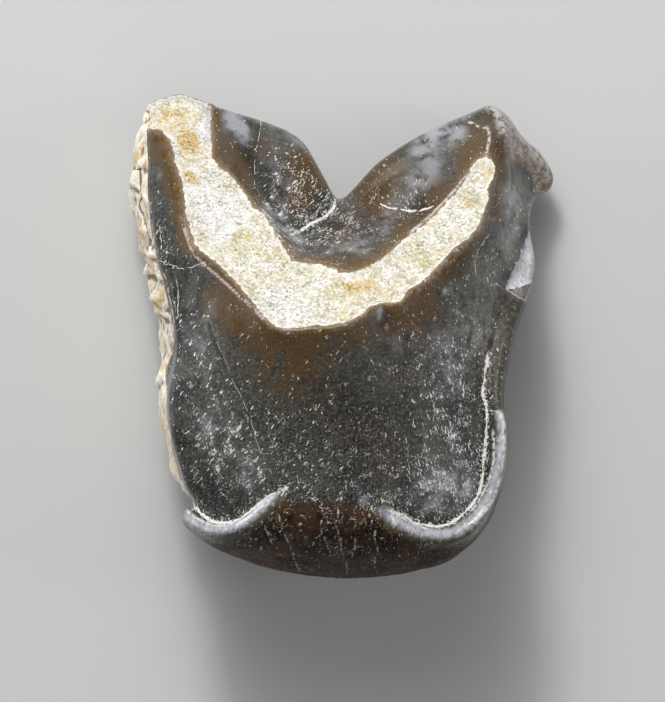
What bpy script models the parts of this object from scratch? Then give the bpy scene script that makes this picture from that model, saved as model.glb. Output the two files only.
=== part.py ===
"""A fossil mammal tooth, lying with its cheek side up.

It is one crescent of a lower cheek tooth of a large browsing mammal. The crescent broke away from the rest of its
tooth along its left side, and from its root below. Seen from above, +Y runs from the swollen base of the crown to
the worn chewing end, where a V of bare dentine lies between two edges of enamel. Behind that V a valley opens
through a notch between the two arms of the crown. The root stump underneath is broken off to a small flat spot, and
the tooth rests on that.

Each named line below runs along a feature that can be seen or felt: an edge, a gutter, a lip or a fold. Its points
are (x, y, z) in millimetres, with z above the table.
"""

import bmesh
import bpy
import numpy as np
from mathutils import Vector, geometry, noise

MM = 0.001

# Driving dimensions, in millimetres: the finished size along X, Y and Z
WIDTH = 48.6
LENGTH = 55.0
HEIGHT = 32.0

# Under its widest line the wall turns in by FOOT_INSET and down to FOOT_SHARE of the widest line's height
FOOT_INSET = 2.2
FOOT_SHARE = 0.55

# The wall bulges like a quarter of an ellipse, at 1, but along the fracture it is nearly straight, at 0
BREAK_ROUNDNESS = 0.1

# Fineness: the spacing of points on the skins, rings in a wall, the even grain for the relief, final triangles
SPACING = 0.95
WALL_STEPS = 8
GRAIN = 0.45
TRIANGLES = 9000

# Points nearer than this are one point, and an edge under the second length closes up
MERGE = 0.01
SHORTEST_EDGE = 0.02

# Ribs of the crown's wall, clockwise from the tip of the left arm. Each rib has its widest point, on the outline as
# seen from above, and its shoulder, where the wall passes into the upper surface.
LEFT_TIP_RIBS = [
    ((-21.8, 26.7, 6.0), (-21.0, 25.4, 8.8)),
    ((-18.3, 27.6, 6.5), (-18.2, 26.3, 8.8)),
    ((-14.9, 26.4, 7.0), (-15.0, 25.3, 9.2)),
]
VALLEY_RIBS = [
    ((-9.0, 24.6, 6.0), (-9.4, 23.6, 7.6)),
    ((-5.8, 23.4, 6.0), (-6.5, 22.4, 7.7)),
    ((-4.0, 21.9, 6.5), (-5.0, 21.1, 8.1)),
    ((-1.6, 17.5, 8.5), (-2.5, 17.0, 9.9)),
    ((-0.5, 15.5, 9.5), (-0.5, 14.8, 10.5)),
    ((1.0, 16.4, 9.0), (1.7, 15.6, 10.5)),
    ((4.2, 20.0, 7.0), (4.9, 19.1, 8.9)),
    ((9.0, 23.1, 6.0), (9.5, 22.1, 8.0)),
]
RIGHT_TIP_RIBS = [
    ((14.4, 25.5, 5.5), (14.6, 24.5, 8.2)),
    ((17.0, 26.4, 5.5), (16.8, 25.4, 9.4)),
    ((18.9, 25.4, 5.5), (18.2, 24.4, 9.6)),
]
FLAP_RIBS = [
    ((20.6, 22.9, 4.5), (19.9, 22.1, 8.4)),
    ((23.2, 20.5, 4.0), (22.3, 19.9, 6.8)),
    ((24.3, 18.1, 4.0), (23.4, 18.3, 6.0)),
    ((24.0, 16.9, 4.2), (23.0, 17.4, 6.0)),
    ((22.4, 16.1, 5.5), (21.4, 16.6, 8.2)),
]
RIGHT_RIBS = [
    ((21.5, 13.5, 9.0), (20.6, 13.4, 12.4)),
    ((22.2, 8.5, 10.8), (21.4, 8.6, 13.4)),
    ((21.3, 4.9, 11.7), (20.4, 4.8, 16.0)),
    ((19.6, 0.0, 13.0), (18.6, 0.0, 19.6)),
    ((18.3, -6.5, 14.5), (17.5, -6.2, 22.4)),
    ((18.8, -12.2, 15.0), (17.8, -12.0, 23.9)),
    ((18.2, -16.5, 15.0), (17.1, -16.2, 24.7)),
]
BASE_RIBS = [
    ((16.0, -21.6, 14.5), (14.8, -20.7, 25.7)),
    ((12.2, -25.1, 13.8), (11.2, -22.3, 26.7)),
    ((6.1, -26.8, 13.0), (5.8, -20.8, 28.2)),
    ((-0.1, -27.2, 13.0), (-0.4, -17.9, 29.4)),
    ((-6.6, -26.5, 13.2), (-6.3, -17.7, 28.9)),
    ((-11.0, -25.1, 13.8), (-9.6, -20.0, 27.2)),
    ((-14.6, -23.5, 14.8), (-13.4, -21.4, 25.4)),
    ((-18.0, -20.5, 17.0), (-16.9, -20.3, 22.8)),
]
BREAK_RIBS = [
    ((-16.6, -18.6, 17.0), (-16.2, -18.9, 21.2)),
    ((-18.2, -17.0, 12.0), (-17.4, -16.6, 22.6)),
    ((-20.1, -11.5, 9.0), (-18.8, -11.5, 23.4)),
    ((-21.2, -6.6, 8.0), (-19.2, -6.5, 23.4)),
    ((-20.6, -1.1, 8.0), (-18.3, -1.0, 22.4)),
    ((-22.0, 4.6, 7.5), (-19.3, 4.8, 21.0)),
    ((-22.9, 10.3, 7.0), (-20.7, 10.4, 18.2)),
    ((-24.4, 17.0, 6.0), (-21.6, 17.0, 15.0)),
    ((-24.0, 21.4, 6.0), (-21.7, 21.2, 12.6)),
    ((-22.6, 24.9, 6.0), (-21.5, 24.0, 10.4)),
]

# The two edges of the worn dentine: the cheek edge, and the inner edge above the valley
CHEEK_EDGE = [
    (-21.6, 22.8, 11.4), (-19.9, 23.1, 12.0), (-18.6, 20.5, 14.7), (-17.1, 14.6, 19.5), (-16.6, 11.5, 21.8),
    (-11.8, 6.2, 26.2), (-7.6, 1.2, 30.3), (-5.4, 0.7, 31.0), (0.4, 1.2, 30.8), (3.6, 3.3, 29.3),
    (6.0, 3.3, 28.9), (9.9, 6.5, 26.2), (14.8, 11.4, 22.0), (16.7, 15.4, 18.8), (17.6, 18.6, 16.2),
]
VALLEY_EDGE = [
    (-15.0, 25.3, 9.2), (-14.7, 23.2, 11.5), (-14.3, 20.3, 14.0), (-11.4, 16.5, 17.2), (-8.1, 13.4, 19.8),
    (-4.9, 8.3, 24.0), (0.4, 7.2, 25.2), (5.5, 9.4, 23.6), (11.7, 14.5, 19.5), (15.0, 19.2, 15.7),
    (16.2, 20.0, 15.0), (17.6, 18.6, 16.2),
]

# Inside the valley
VALLEY_FLOOR = [(-0.5, 14.8, 10.5), (-1.2, 13.6, 11.2), (-3.0, 12.7, 12.5), (-5.0, 11.6, 13.6), (-6.6, 12.2, 14.6)]
LEFT_WALL_FOOT = [(-12.8, 22.9, 10.0), (-11.4, 19.2, 11.6), (-8.9, 15.3, 13.3), (-6.6, 12.2, 14.6)]
RIGHT_HUMP = [(2.2, 15.6, 11.4), (3.7, 17.0, 12.8), (6.3, 18.3, 13.2), (9.0, 19.6, 12.6), (11.6, 21.3, 11.4)]
RIGHT_FOLD = [(4.7, 14.9, 14.0), (7.8, 14.1, 14.8), (10.0, 14.3, 15.8)]

# The gutters inside the lips at the foot of the cheek face
LEFT_GUTTER = [
    (-16.2, -18.9, 21.2), (-14.8, -20.2, 22.8), (-13.2, -20.6, 23.8), (-11.0, -20.0, 24.9), (-8.1, -18.2, 27.2),
    (-6.5, -17.2, 28.7),
]
RIGHT_GUTTER = [
    (5.4, -19.6, 27.4), (7.9, -20.5, 25.8), (10.7, -21.0, 24.7), (13.3, -19.9, 23.9), (15.3, -17.4, 23.0),
    (16.1, -12.0, 22.3), (16.0, -6.1, 21.4), (17.1, -0.3, 19.2), (17.9, 3.8, 17.6),
]

# The right side: a ridge at the arm's end, the fold below the flap and a chipped facet
ARM_RIDGE = [(17.1, 24.6, 10.6), (18.0, 22.6, 12.8), (17.9, 18.4, 15.6), (16.9, 15.0, 18.4)]
FLAP_FOLD = [(18.9, 19.8, 12.0), (20.4, 18.9, 9.4), (21.4, 17.8, 7.8)]
CHIP = [(21.0, 11.4, 12.6), (20.1, 9.0, 15.3), (18.9, 5.9, 17.0), (20.3, 5.9, 15.6), (21.0, 7.6, 14.0)]

# The underside: the inner pillar of each arm, the trough between them, the lower edge of the enamel, the torn
# root and its broken end, which is cut off flat on the table
LEFT_PILLAR = [(-17.4, 25.0, 4.0), (-16.9, 20.8, 2.6), (-15.2, 14.6, 1.7), (-12.6, 9.4, 1.5)]
RIGHT_PILLAR = [(15.7, 24.0, 3.6), (14.6, 19.6, 2.3), (12.6, 14.1, 1.6), (10.0, 9.6, 1.5)]
TROUGH = [(-0.5, 14.0, 8.4), (-0.5, 12.0, 7.2), (-0.4, 9.8, 5.6)]
ENAMEL_FOOT = [
    (-16.2, 8.2, 3.4), (-17.6, 1.0, 4.0), (-18.0, -6.0, 4.8), (-16.6, -13.2, 6.6), (-13.4, -19.4, 8.4),
    (-6.9, -23.2, 8.2), (0.0, -24.3, 7.6), (6.7, -23.5, 8.0), (12.3, -21.0, 8.8), (15.4, -15.6, 8.6),
    (15.6, -8.0, 7.8), (15.4, -1.2, 6.4), (14.0, 6.4, 4.4), (8.0, 7.6, 3.2), (4.0, 6.8, 4.0),
    (0.0, 7.6, 4.6), (-5.0, 6.8, 3.8), (-10.0, 8.0, 3.0),
]
TORN_ROOT = [
    (-12.0, 3.4, 2.6), (-13.0, -4.6, 2.8), (-11.6, -11.8, 3.6), (-6.4, -17.6, 4.4), (1.6, -18.8, 4.2),
    (8.6, -14.4, 3.6), (10.6, -5.4, 2.8), (9.2, 2.2, 2.4), (3.4, 4.8, 2.2), (-6.0, 5.2, 2.0),
]
STUMP_END = [
    (-8.2, 1.2, -0.6), (-8.8, -5.4, -0.7), (-7.4, -10.2, -0.6), (-3.6, -13.8, -0.7), (1.4, -14.0, -0.6),
    (5.0, -10.0, -0.7), (6.2, -4.0, -0.6), (4.9, 1.4, -0.7), (1.4, 2.6, -0.6), (-3.6, 2.9, -0.7),
]

# Relief: the ledges of the fracture between its two ends along Y, the torn stump, the crumbled left tip and the
# waver of the whole surface
FRACTURE_ENDS = (-18.2, 27.5)
LEDGE_SPACING = 3.4
LEDGE_HEIGHT = 0.6
STUMP_ROUGHNESS = 0.5
LEFT_TIP = (-18.5, 25.0, 9.0)
TIP_ROUGHNESS = 0.3
WAVER = 0.1

# Dents: centre, half-width along each axis, depth
EDGE_CHIP = ((4.7, 1.8, 29.6), (0.9, 1.9, 2.0), 0.45)
BASE_CREASE = ((5.1, -20.2, 28.2), (0.8, 2.4, 3.0), 0.6)

# How strongly each part of the skin swells between its lines, per millimetre; a hollow is negative
CHEEK_SWELL = 0.045
DENTINE_SWELL = -0.05
VALLEY_SWELL = -0.02
UNDERSIDE_SWELL = -0.01


def smooth_line(points, closed=False):
    """Points about SPACING apart on a smooth curve through the given ones."""
    knots = [Vector(point) for point in points]
    if closed:
        knots = [knots[-1], *knots, knots[0], knots[1]]
    else:
        knots = [2 * knots[0] - knots[1], *knots, 2 * knots[-1] - knots[-2]]
    line = []
    for before, start, end, after in zip(knots, knots[1:], knots[2:], knots[3:]):
        steps = max(1, round((end - start).length / SPACING))
        line += [on_curve(before, start, end, after, step / steps) for step in range(steps)]
    if not closed:
        line.append(knots[-2])
    return np.array(line)


def on_curve(before, start, end, after, t):
    """A point at the share t of the way from start to end, on a curve that doesn't overshoot a short stretch."""
    span = (end - start).length
    leave = (end - before) / 2
    arrive = (after - start) / 2
    leave = leave * min(1.0, span / leave.length)
    arrive = arrive * min(1.0, span / arrive.length)
    ends = (2 * t**3 - 3 * t**2 + 1) * start + (3 * t**2 - 2 * t**3) * end
    return ends + (t**3 - 2 * t**2 + t) * leave + (t**3 - t**2) * arrive


def rib_rings(ribs):
    """Two closed lines with matching points, through the ribs' widest points and through their shoulders."""
    widest, shoulder = [], []
    for i in range(len(ribs)):
        around = [ribs[(i + shift) % len(ribs)] for shift in (-1, 0, 1, 2)]
        gap = Vector(around[2][0]) - Vector(around[1][0])
        steps = max(1, round(gap.xy.length / SPACING))
        for step in range(steps):
            widest.append(on_curve(*(Vector(rib[0]) for rib in around), step / steps))
            shoulder.append(on_curve(*(Vector(rib[1]) for rib in around), step / steps))
    return np.array(widest), np.array(shoulder)


def ironed(ring, passes):
    """A closed line, or a closed row of values, with its sharp turns eased."""
    for _ in range(passes):
        ring = ring / 2 + (np.roll(ring, 1, axis=0) + np.roll(ring, -1, axis=0)) / 4
    return ring


def foot_ring(widest):
    """The closed line where the wall, turning under, passes into the underside."""
    along = np.roll(widest, -1, axis=0) - np.roll(widest, 1, axis=0)
    inward = np.stack([along[:, 1], -along[:, 0]], axis=1)
    inward /= np.linalg.norm(inward, axis=1, keepdims=True)
    foot = widest.copy()
    foot[:, :2] += FOOT_INSET * inward
    foot[:, 2] *= FOOT_SHARE
    return ironed(foot, passes=12)


def wall(widest, end, roundness):
    """Rings from the widest line to an end line, round like a quarter of an ellipse or, at 0, straight."""
    rings = []
    for step in range(WALL_STEPS + 1):
        share = step / WALL_STEPS
        turn = share * np.pi / 2
        inward = (share + roundness * (1 - np.cos(turn) - share))[:, None]
        upward = (share + roundness * (np.sin(turn) - share))[:, None]
        rings.append(widest + (end - widest) * np.hstack([inward, inward, upward]))
    return rings


def inside(places, ring):
    """Which places lie inside a closed line, in plan."""
    x, y = places[:, 0, None], places[:, 1, None]
    x1, y1 = ring[:, 0], ring[:, 1]
    x2, y2 = np.roll(x1, -1), np.roll(y1, -1)
    spans = (y1 > y) != (y2 > y)
    crossing = x1 + (y - y1) * (x2 - x1) / np.where(y1 == y2, 1e-9, y2 - y1)
    return (spans & (x < crossing)).sum(axis=1) % 2 == 1


def plan_distance(places, line):
    """The distance in plan from each place to the nearest point of a line."""
    return np.linalg.norm(places[:, None, :2] - line[None, :, :2], axis=2).min(axis=1)


def grid_inside(rim, lines):
    """Points of a triangular grid inside the rim that keep clear of every line."""
    low, high = rim.min(axis=0), rim.max(axis=0)
    grid = []
    for number, y in enumerate(np.arange(low[1], high[1], SPACING * np.sqrt(3) / 2)):
        shift = SPACING / 2 if number % 2 else 0
        grid += [(x + shift, y, 0) for x in np.arange(low[0], high[0], SPACING)]
    grid = np.array(grid)
    grid = grid[inside(grid, rim)]
    for line in lines:
        grid = grid[plan_distance(grid, line) > SPACING * 0.6]
    return grid


def skin(rim, lines, rings, swell_at):
    """(points, triangles) of a skin that is pinned to the rim, lines and rings, and swells between them."""
    grid = grid_inside(rim, [rim, *lines, *rings])
    places, edges = [], []
    for line in [rim, *rings, *lines]:
        first = len(places)
        places += list(line)
        edges += [(first + i, first + i + 1) for i in range(len(line) - 1)]
        if any(line is ring for ring in [rim, *rings]):
            edges.append((first + len(line) - 1, first))
    pinned = len(places)
    places += list(grid)
    plan = [Vector(place[:2]) for place in places]
    boundary = [list(range(len(rim)))]
    plan, _, triangles, origins, _, _ = geometry.delaunay_2d_cdt(plan, edges, boundary, 1, 1e-4)
    heights = np.full(len(plan), np.nan)
    for point, sources in enumerate(origins):
        pins = [source for source in sources if source < pinned]
        if pins:
            heights[point] = places[pins[0]][2]
    plan, triangles = np.array(plan), np.array(triangles)
    return np.column_stack([plan, relaxed(plan, triangles, heights, swell_at)]), triangles


def relaxed(plan, triangles, heights, swell_at):
    """The heights with each free one, a NaN, set to the mean of its neighbours plus the swelling there."""
    links = np.zeros((len(plan), len(plan)))
    for a, b in ((0, 1), (1, 2), (2, 0)):
        links[triangles[:, a], triangles[:, b]] = 1
        links[triangles[:, b], triangles[:, a]] = 1
    free = np.isnan(heights)
    counts = links.sum(axis=1)
    system = np.diag(counts[free]) - links[np.ix_(free, free)]
    swelling = counts[free] * swell_at(plan[free]) * SPACING**2 / 4
    heights[free] = np.linalg.solve(system, links[np.ix_(free, ~free)] @ heights[~free] + swelling)
    return heights


def upper_skin(shoulder):
    """The upper surface inside the shoulders: cheek face, worn dentine, valley and gutters."""
    cheek_edge = smooth_line(CHEEK_EDGE)
    valley_edge = smooth_line(VALLEY_EDGE)
    left_tip = np.array([rib[1] for rib in LEFT_TIP_RIBS])
    dentine = np.vstack([cheek_edge[:1], left_tip, valley_edge, cheek_edge[::-1]])
    valley_rim = np.array([rib[1] for rib in VALLEY_RIBS + RIGHT_TIP_RIBS])
    valley = np.vstack([valley_rim, valley_edge[::-1]])

    def swell_at(places):
        swell = np.full(len(places), CHEEK_SWELL)
        swell[inside(places, dentine)] = DENTINE_SWELL
        swell[inside(places, valley)] = VALLEY_SWELL
        return swell

    named = (
        VALLEY_FLOOR, LEFT_WALL_FOOT, RIGHT_HUMP, RIGHT_FOLD, LEFT_GUTTER, RIGHT_GUTTER, ARM_RIDGE, FLAP_FOLD,
    )
    lines = [cheek_edge, valley_edge] + [smooth_line(points) for points in named]
    return skin(shoulder, lines, [smooth_line(CHIP, closed=True)], swell_at)


def lower_skin(foot):
    """The underside: the tongue side of the crown, the enamel's lower edge and the root stump."""
    lines = [smooth_line(points) for points in (LEFT_PILLAR, RIGHT_PILLAR, TROUGH)]
    rings = [smooth_line(points, closed=True) for points in (ENAMEL_FOOT, TORN_ROOT, STUMP_END)]

    def swell_at(places):
        return np.full(len(places), UNDERSIDE_SWELL)

    return skin(foot, lines, rings, swell_at)


def add_triangles(mesh, points, triangles, faces_up):
    """Adds a skin's triangles, all facing up or all facing down."""
    corners = [mesh.verts.new(Vector(point) * MM) for point in points]
    for triangle in triangles:
        a, b, c = (corners[i] for i in triangle)
        up = (b.co - a.co).cross(c.co - a.co).z > 0
        mesh.faces.new((a, b, c) if up == faces_up else (a, c, b))


def add_wall(mesh, rings):
    """Quads between each ring and the next."""
    rows = [[mesh.verts.new(Vector(point) * MM) for point in ring] for ring in rings]
    for lower, upper in zip(rows, rows[1:]):
        for i in range(len(lower)):
            mesh.faces.new((lower[i - 1], lower[i], upper[i], upper[i - 1]))


def wall_roundness(widest):
    """How far the wall bulges at each point of its widest line."""
    fracture = smooth_line([rib[0] for rib in BREAK_RIBS[1:]])
    straight = plan_distance(widest, fracture) < SPACING
    return ironed(np.where(straight, BREAK_ROUNDNESS, 1.0), passes=3)


def closed_blank():
    """One closed mesh: the upper skin, the walls above and below the widest line, and the lower skin."""
    ribs = LEFT_TIP_RIBS + VALLEY_RIBS + RIGHT_TIP_RIBS + FLAP_RIBS + RIGHT_RIBS + BASE_RIBS + BREAK_RIBS
    widest, shoulder = rib_rings(ribs)
    foot = foot_ring(widest)
    mesh = bmesh.new()
    add_wall(mesh, wall(widest, shoulder, wall_roundness(widest)))
    add_wall(mesh, wall(widest, foot, np.ones(len(widest))))
    add_triangles(mesh, *upper_skin(shoulder), faces_up=True)
    add_triangles(mesh, *lower_skin(foot), faces_up=False)
    bmesh.ops.remove_doubles(mesh, verts=mesh.verts, dist=MERGE * MM)
    bmesh.ops.recalc_face_normals(mesh, faces=mesh.faces)
    data = bpy.data.meshes.new("blank")
    mesh.to_mesh(data)
    mesh.free()
    return data


def evaluated(thing):
    """The thing's mesh with its modifiers applied; the thing itself is removed."""
    bpy.context.view_layer.update()
    graph = bpy.context.evaluated_depsgraph_get()
    made = bpy.data.meshes.new_from_object(thing.evaluated_get(graph))
    bpy.data.objects.remove(thing)
    return made


def linked(name, data):
    """An object with this mesh, in the scene."""
    thing = bpy.data.objects.new(name, data)
    bpy.context.scene.collection.objects.link(thing)
    return thing


def evened(data):
    """The mesh with an even grain, which the relief needs, and with the joins of the skins eased."""
    thing = linked("blank", data)
    grain = thing.modifiers.new("Even grain", "REMESH")
    grain.mode = "VOXEL"
    grain.voxel_size = GRAIN * MM
    ease = thing.modifiers.new("Ease", "SMOOTH")
    ease.factor = 0.5
    ease.iterations = 3
    return evaluated(thing)


def thinned(data):
    """The mesh with fewer triangles where it is flat."""
    thing = linked("thick", data)
    thinner = thing.modifiers.new("Thin", "DECIMATE")
    thinner.ratio = TRIANGLES / (2 * len(data.polygons))
    thinner.use_collapse_triangulate = True
    return evaluated(thing)


def smoothstep(low, high, values):
    """0 at low, 1 at high, with a soft start and end."""
    share = np.clip((values - low) / (high - low), 0, 1)
    return share * share * (3 - 2 * share)


def noise_at(places, size, seed):
    """Smooth noise from -1 to 1 with lumps of about the given size."""
    offset = Vector((seed * 17.3, seed * 5.9, seed * 11.7))
    return np.array([noise.noise(Vector(place) / size + offset) for place in places])


def fracture_relief(places):
    """Scaly ledges on the broken left side, which step out as they go towards the base."""
    edge = smooth_line([rib[1] for rib in BREAK_RIBS])
    beyond = np.interp(places[:, 1], edge[:, 1], edge[:, 0]) - places[:, 0]
    near, far = FRACTURE_ENDS
    ends = smoothstep(near, near + 1.4, places[:, 1]) * smoothstep(far, far - 3.0, places[:, 1])
    along = (places[:, 1] * 0.8 - places[:, 2] * 0.55) / LEDGE_SPACING + 1.1 * noise_at(places, 6.0, 1)
    climb = along - np.floor(along)
    ledges = np.minimum(climb / 0.7, (1 - climb) / 0.3) * (0.7 + 0.6 * noise_at(places, 5.0, 2))
    lumps = 0.7 * noise_at(places, 3.0, 3) + 0.4 * noise_at(places, 1.4, 4)
    return smoothstep(0.1, 0.8, beyond) * ends * LEDGE_HEIGHT * (ledges - 0.4 + lumps)


def stump_relief(places):
    """The torn dentine of the stump and of the base inside the enamel's lower edge."""
    foot = smooth_line(ENAMEL_FOOT, closed=True)
    is_torn = inside(places, foot) & (places[:, 2] < HEIGHT / 3)
    lumps = noise_at(places, 4.2, 5) + 0.6 * noise_at(places, 1.8, 6)
    return is_torn * smoothstep(0, 1.5, plan_distance(places, foot)) * STUMP_ROUGHNESS * lumps


def tip_relief(places):
    """The crumbled end of the left arm, where dentine and fracture meet."""
    gap = np.linalg.norm(places - np.array(LEFT_TIP), axis=1)
    return smoothstep(7.0, 3.0, gap) * TIP_ROUGHNESS * noise_at(places, 1.6, 7)


def dent_relief(places, centre, half_widths, depth):
    """One rounded dent."""
    reach = np.linalg.norm((places - np.array(centre)) / np.array(half_widths), axis=1)
    return -depth * smoothstep(1.0, 0.0, reach)


def carved(data):
    """The mesh with each point moved along its normal by the relief there."""
    places = np.array([point.co for point in data.vertices]) / MM
    normals = np.array([point.normal for point in data.vertices])
    relief = WAVER * noise_at(places, 7.0, 8)
    relief += fracture_relief(places) + stump_relief(places) + tip_relief(places)
    relief += dent_relief(places, *EDGE_CHIP) + dent_relief(places, *BASE_CREASE)
    data.vertices.foreach_set("co", ((places + relief[:, None] * normals) * MM).ravel())
    return data


def cut_to_size(data):
    """Fits the driving sizes, centres the outline on the origin and cuts the stump off flat on the table."""
    places = np.array([point.co for point in data.vertices])
    low, high = places.min(axis=0), places.max(axis=0)
    middle = (low + high) / 2
    span = high - low
    growth = (WIDTH * MM / span[0], LENGTH * MM / span[1], HEIGHT * MM / high[2])
    mesh = bmesh.new()
    mesh.from_mesh(data)
    for corner in mesh.verts:
        corner.co.x = (corner.co.x - middle[0]) * growth[0]
        corner.co.y = (corner.co.y - middle[1]) * growth[1]
        corner.co.z *= growth[2]
    everything = [*mesh.verts, *mesh.edges, *mesh.faces]
    cut = bmesh.ops.bisect_plane(mesh, geom=everything, plane_co=(0, 0, 0), plane_no=(0, 0, 1), clear_inner=True)
    rim = [part for part in cut["geom_cut"] if isinstance(part, bmesh.types.BMEdge)]
    bmesh.ops.contextual_create(mesh, geom=rim)
    bmesh.ops.dissolve_degenerate(mesh, dist=SHORTEST_EDGE * MM, edges=mesh.edges)
    bmesh.ops.triangulate(mesh, faces=mesh.faces)
    bmesh.ops.recalc_face_normals(mesh, faces=mesh.faces)
    mesh.to_mesh(data)
    mesh.free()
    return data


def fossil_material():
    """Dark enamel, hard and glossy."""
    material = bpy.data.materials.new("fossil enamel")
    material.use_nodes = True
    finish = material.node_tree.nodes["Principled BSDF"]
    finish.inputs["Base Color"].default_value = (0.045, 0.048, 0.045, 1)
    finish.inputs["Roughness"].default_value = 0.25
    finish.inputs["Metallic"].default_value = 0.0
    return material


def main():
    """Makes the tooth in an empty scene."""
    for thing in list(bpy.data.objects):
        bpy.data.objects.remove(thing)
    tooth = linked("tooth", cut_to_size(thinned(carved(evened(closed_blank())))))
    tooth.data.shade_smooth()
    tooth.data.set_sharp_from_angle(angle=np.radians(40))
    tooth.data.materials.append(fossil_material())


main()
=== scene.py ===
# %% [markdown]
# # The finish of a fossil tooth
# The model that this lesson starts from is one plain solid: a crescent of a large browsing mammal's
# cheek tooth, which lies with its cheek side up. The real fossil is one piece too, but it shows several
# surfaces: dark polished enamel, a V of cream dentine that chewing wore bare, a scaly broken side,
# white matrix in the gutters, and a torn root underneath. The lesson gives the solid its fine relief as
# real shape, and then paints it in thin layers, each where it lies on the fossil.

import bpy
import numpy as np
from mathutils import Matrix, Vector, noise


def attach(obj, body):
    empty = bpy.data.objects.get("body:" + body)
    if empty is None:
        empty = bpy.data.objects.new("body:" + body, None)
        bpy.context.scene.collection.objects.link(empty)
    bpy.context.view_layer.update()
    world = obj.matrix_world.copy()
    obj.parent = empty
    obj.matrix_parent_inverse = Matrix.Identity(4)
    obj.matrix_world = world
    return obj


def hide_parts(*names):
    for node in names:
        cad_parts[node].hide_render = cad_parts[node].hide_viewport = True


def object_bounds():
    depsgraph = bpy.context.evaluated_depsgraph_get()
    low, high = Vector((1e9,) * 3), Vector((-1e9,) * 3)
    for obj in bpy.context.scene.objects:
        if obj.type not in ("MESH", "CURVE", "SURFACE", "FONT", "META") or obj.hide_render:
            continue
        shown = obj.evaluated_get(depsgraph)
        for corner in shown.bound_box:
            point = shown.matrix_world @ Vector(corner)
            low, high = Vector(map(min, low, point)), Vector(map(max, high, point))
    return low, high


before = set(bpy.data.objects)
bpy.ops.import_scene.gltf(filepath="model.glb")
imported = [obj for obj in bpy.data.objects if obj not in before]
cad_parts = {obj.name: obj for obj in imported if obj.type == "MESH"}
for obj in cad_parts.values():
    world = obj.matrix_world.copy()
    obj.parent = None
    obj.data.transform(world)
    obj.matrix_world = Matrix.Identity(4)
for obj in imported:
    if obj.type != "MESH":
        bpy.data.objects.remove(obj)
cad_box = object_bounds()
print("the solid measures, in mm:", [round(1000 * side, 1) for side in cad_box[1] - cad_box[0]])

# %% [markdown]
# ## The view from above
# The fossil was photographed from straight above. A long lens far away would do the same here, and it
# has a use besides the picture: the fine lines of the finish, such as cracks, were read off the
# photograph in its own pixels, and the camera's numbers say where on the tooth each pixel lies. So the
# camera comes first.

# %% The camera
PHOTO_WIDTH, PHOTO_HEIGHT = 665, 702
PIXELS_PER_MM = 8.8
SCALED_HEIGHT = 0.01
CAMERA_PLACE = Vector((-0.00097, -0.0018, 0.7))
SENSOR_WIDTH = 36

focal_pixels = 1000 * PIXELS_PER_MM * (CAMERA_PLACE.z - SCALED_HEIGHT)
bpy.ops.object.camera_add(location=CAMERA_PLACE, rotation=(0, 0, 0))
camera = bpy.context.object
camera.data.sensor_fit = "HORIZONTAL"
camera.data.sensor_width = SENSOR_WIDTH
camera.data.lens = focal_pixels * SENSOR_WIDTH / PHOTO_WIDTH
bpy.context.scene.camera = camera
print("the lens, in mm:", round(camera.data.lens, 1))

# %% [markdown]
# ## An even skin to work in
# The solid's triangles are long where it is flat, so they can't carry fine relief. Subdividing them
# would keep their uneven sizes. A voxel remesh gives an even grain all over instead, fine enough for a
# ridge half a millimetre wide, and a little smoothing takes off the solid's facets. Half the grain
# would be finer still, but it would make four times as many faces, and a piece stays under 200,000
# triangles.

# %% The working mesh
GRAIN = 0.00031
MERGE_WITHIN = GRAIN / 30

tooth = bpy.data.objects.new("fossil_tooth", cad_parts["tooth"].data.copy())
bpy.context.collection.objects.link(tooth)
bpy.ops.object.select_all(action="DESELECT")
tooth.select_set(True)
bpy.context.view_layer.objects.active = tooth
bpy.ops.object.mode_set(mode="EDIT")
bpy.ops.mesh.select_all(action="SELECT")
bpy.ops.mesh.remove_doubles(threshold=MERGE_WITHIN)
bpy.ops.object.mode_set(mode="OBJECT")


def finish_with(kind, **settings):
    """Adds a modifier to the tooth and applies it."""
    bpy.ops.object.modifier_add(type=kind)
    modifier = tooth.modifiers[-1]
    for name, value in settings.items():
        setattr(modifier, name, value)
    bpy.ops.object.modifier_apply(modifier=modifier.name)


finish_with("REMESH", mode="VOXEL", voxel_size=GRAIN)
finish_with("SMOOTH", factor=0.5, iterations=6)
print("the working mesh has", len(tooth.data.vertices), "points and", len(tooth.data.polygons), "faces")

# %% [markdown]
# ## Where things are
# Each point of the mesh gets its place in the photograph. A feature is then a line or an outline in
# pixels, and a point's distance from it, in millimetres, says how much of the feature the point has. A
# signed distance, such as the depth inside an outline, is better than a painted mask, because it stays
# a sharp line however coarse the mesh is.

# %% Each point's place in the photograph
COUNT = len(tooth.data.vertices)


def three_for_each_point(source, key):
    """Reads three numbers for each point of the mesh, as rows."""
    numbers = np.empty(3 * COUNT, np.float32)
    source.foreach_get(key, numbers)
    return numbers.reshape(COUNT, 3).astype(float)


places = 1000 * three_for_each_point(tooth.data.vertices, "co")
normals = three_for_each_point(tooth.data.vertex_normals, "vector")
scale = focal_pixels / 1000 / (CAMERA_PLACE.z - places[:, 2] / 1000)
seen = np.column_stack([
    PHOTO_WIDTH / 2 + (places[:, 0] - 1000 * CAMERA_PLACE.x) * scale,
    PHOTO_HEIGHT / 2 - (places[:, 1] - 1000 * CAMERA_PLACE.y) * scale,
])
print("in the photograph the tooth reaches from", seen.min(axis=0).round(), "to", seen.max(axis=0).round())

# %% Distances from drawn lines
LINE_STEP = 4


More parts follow.
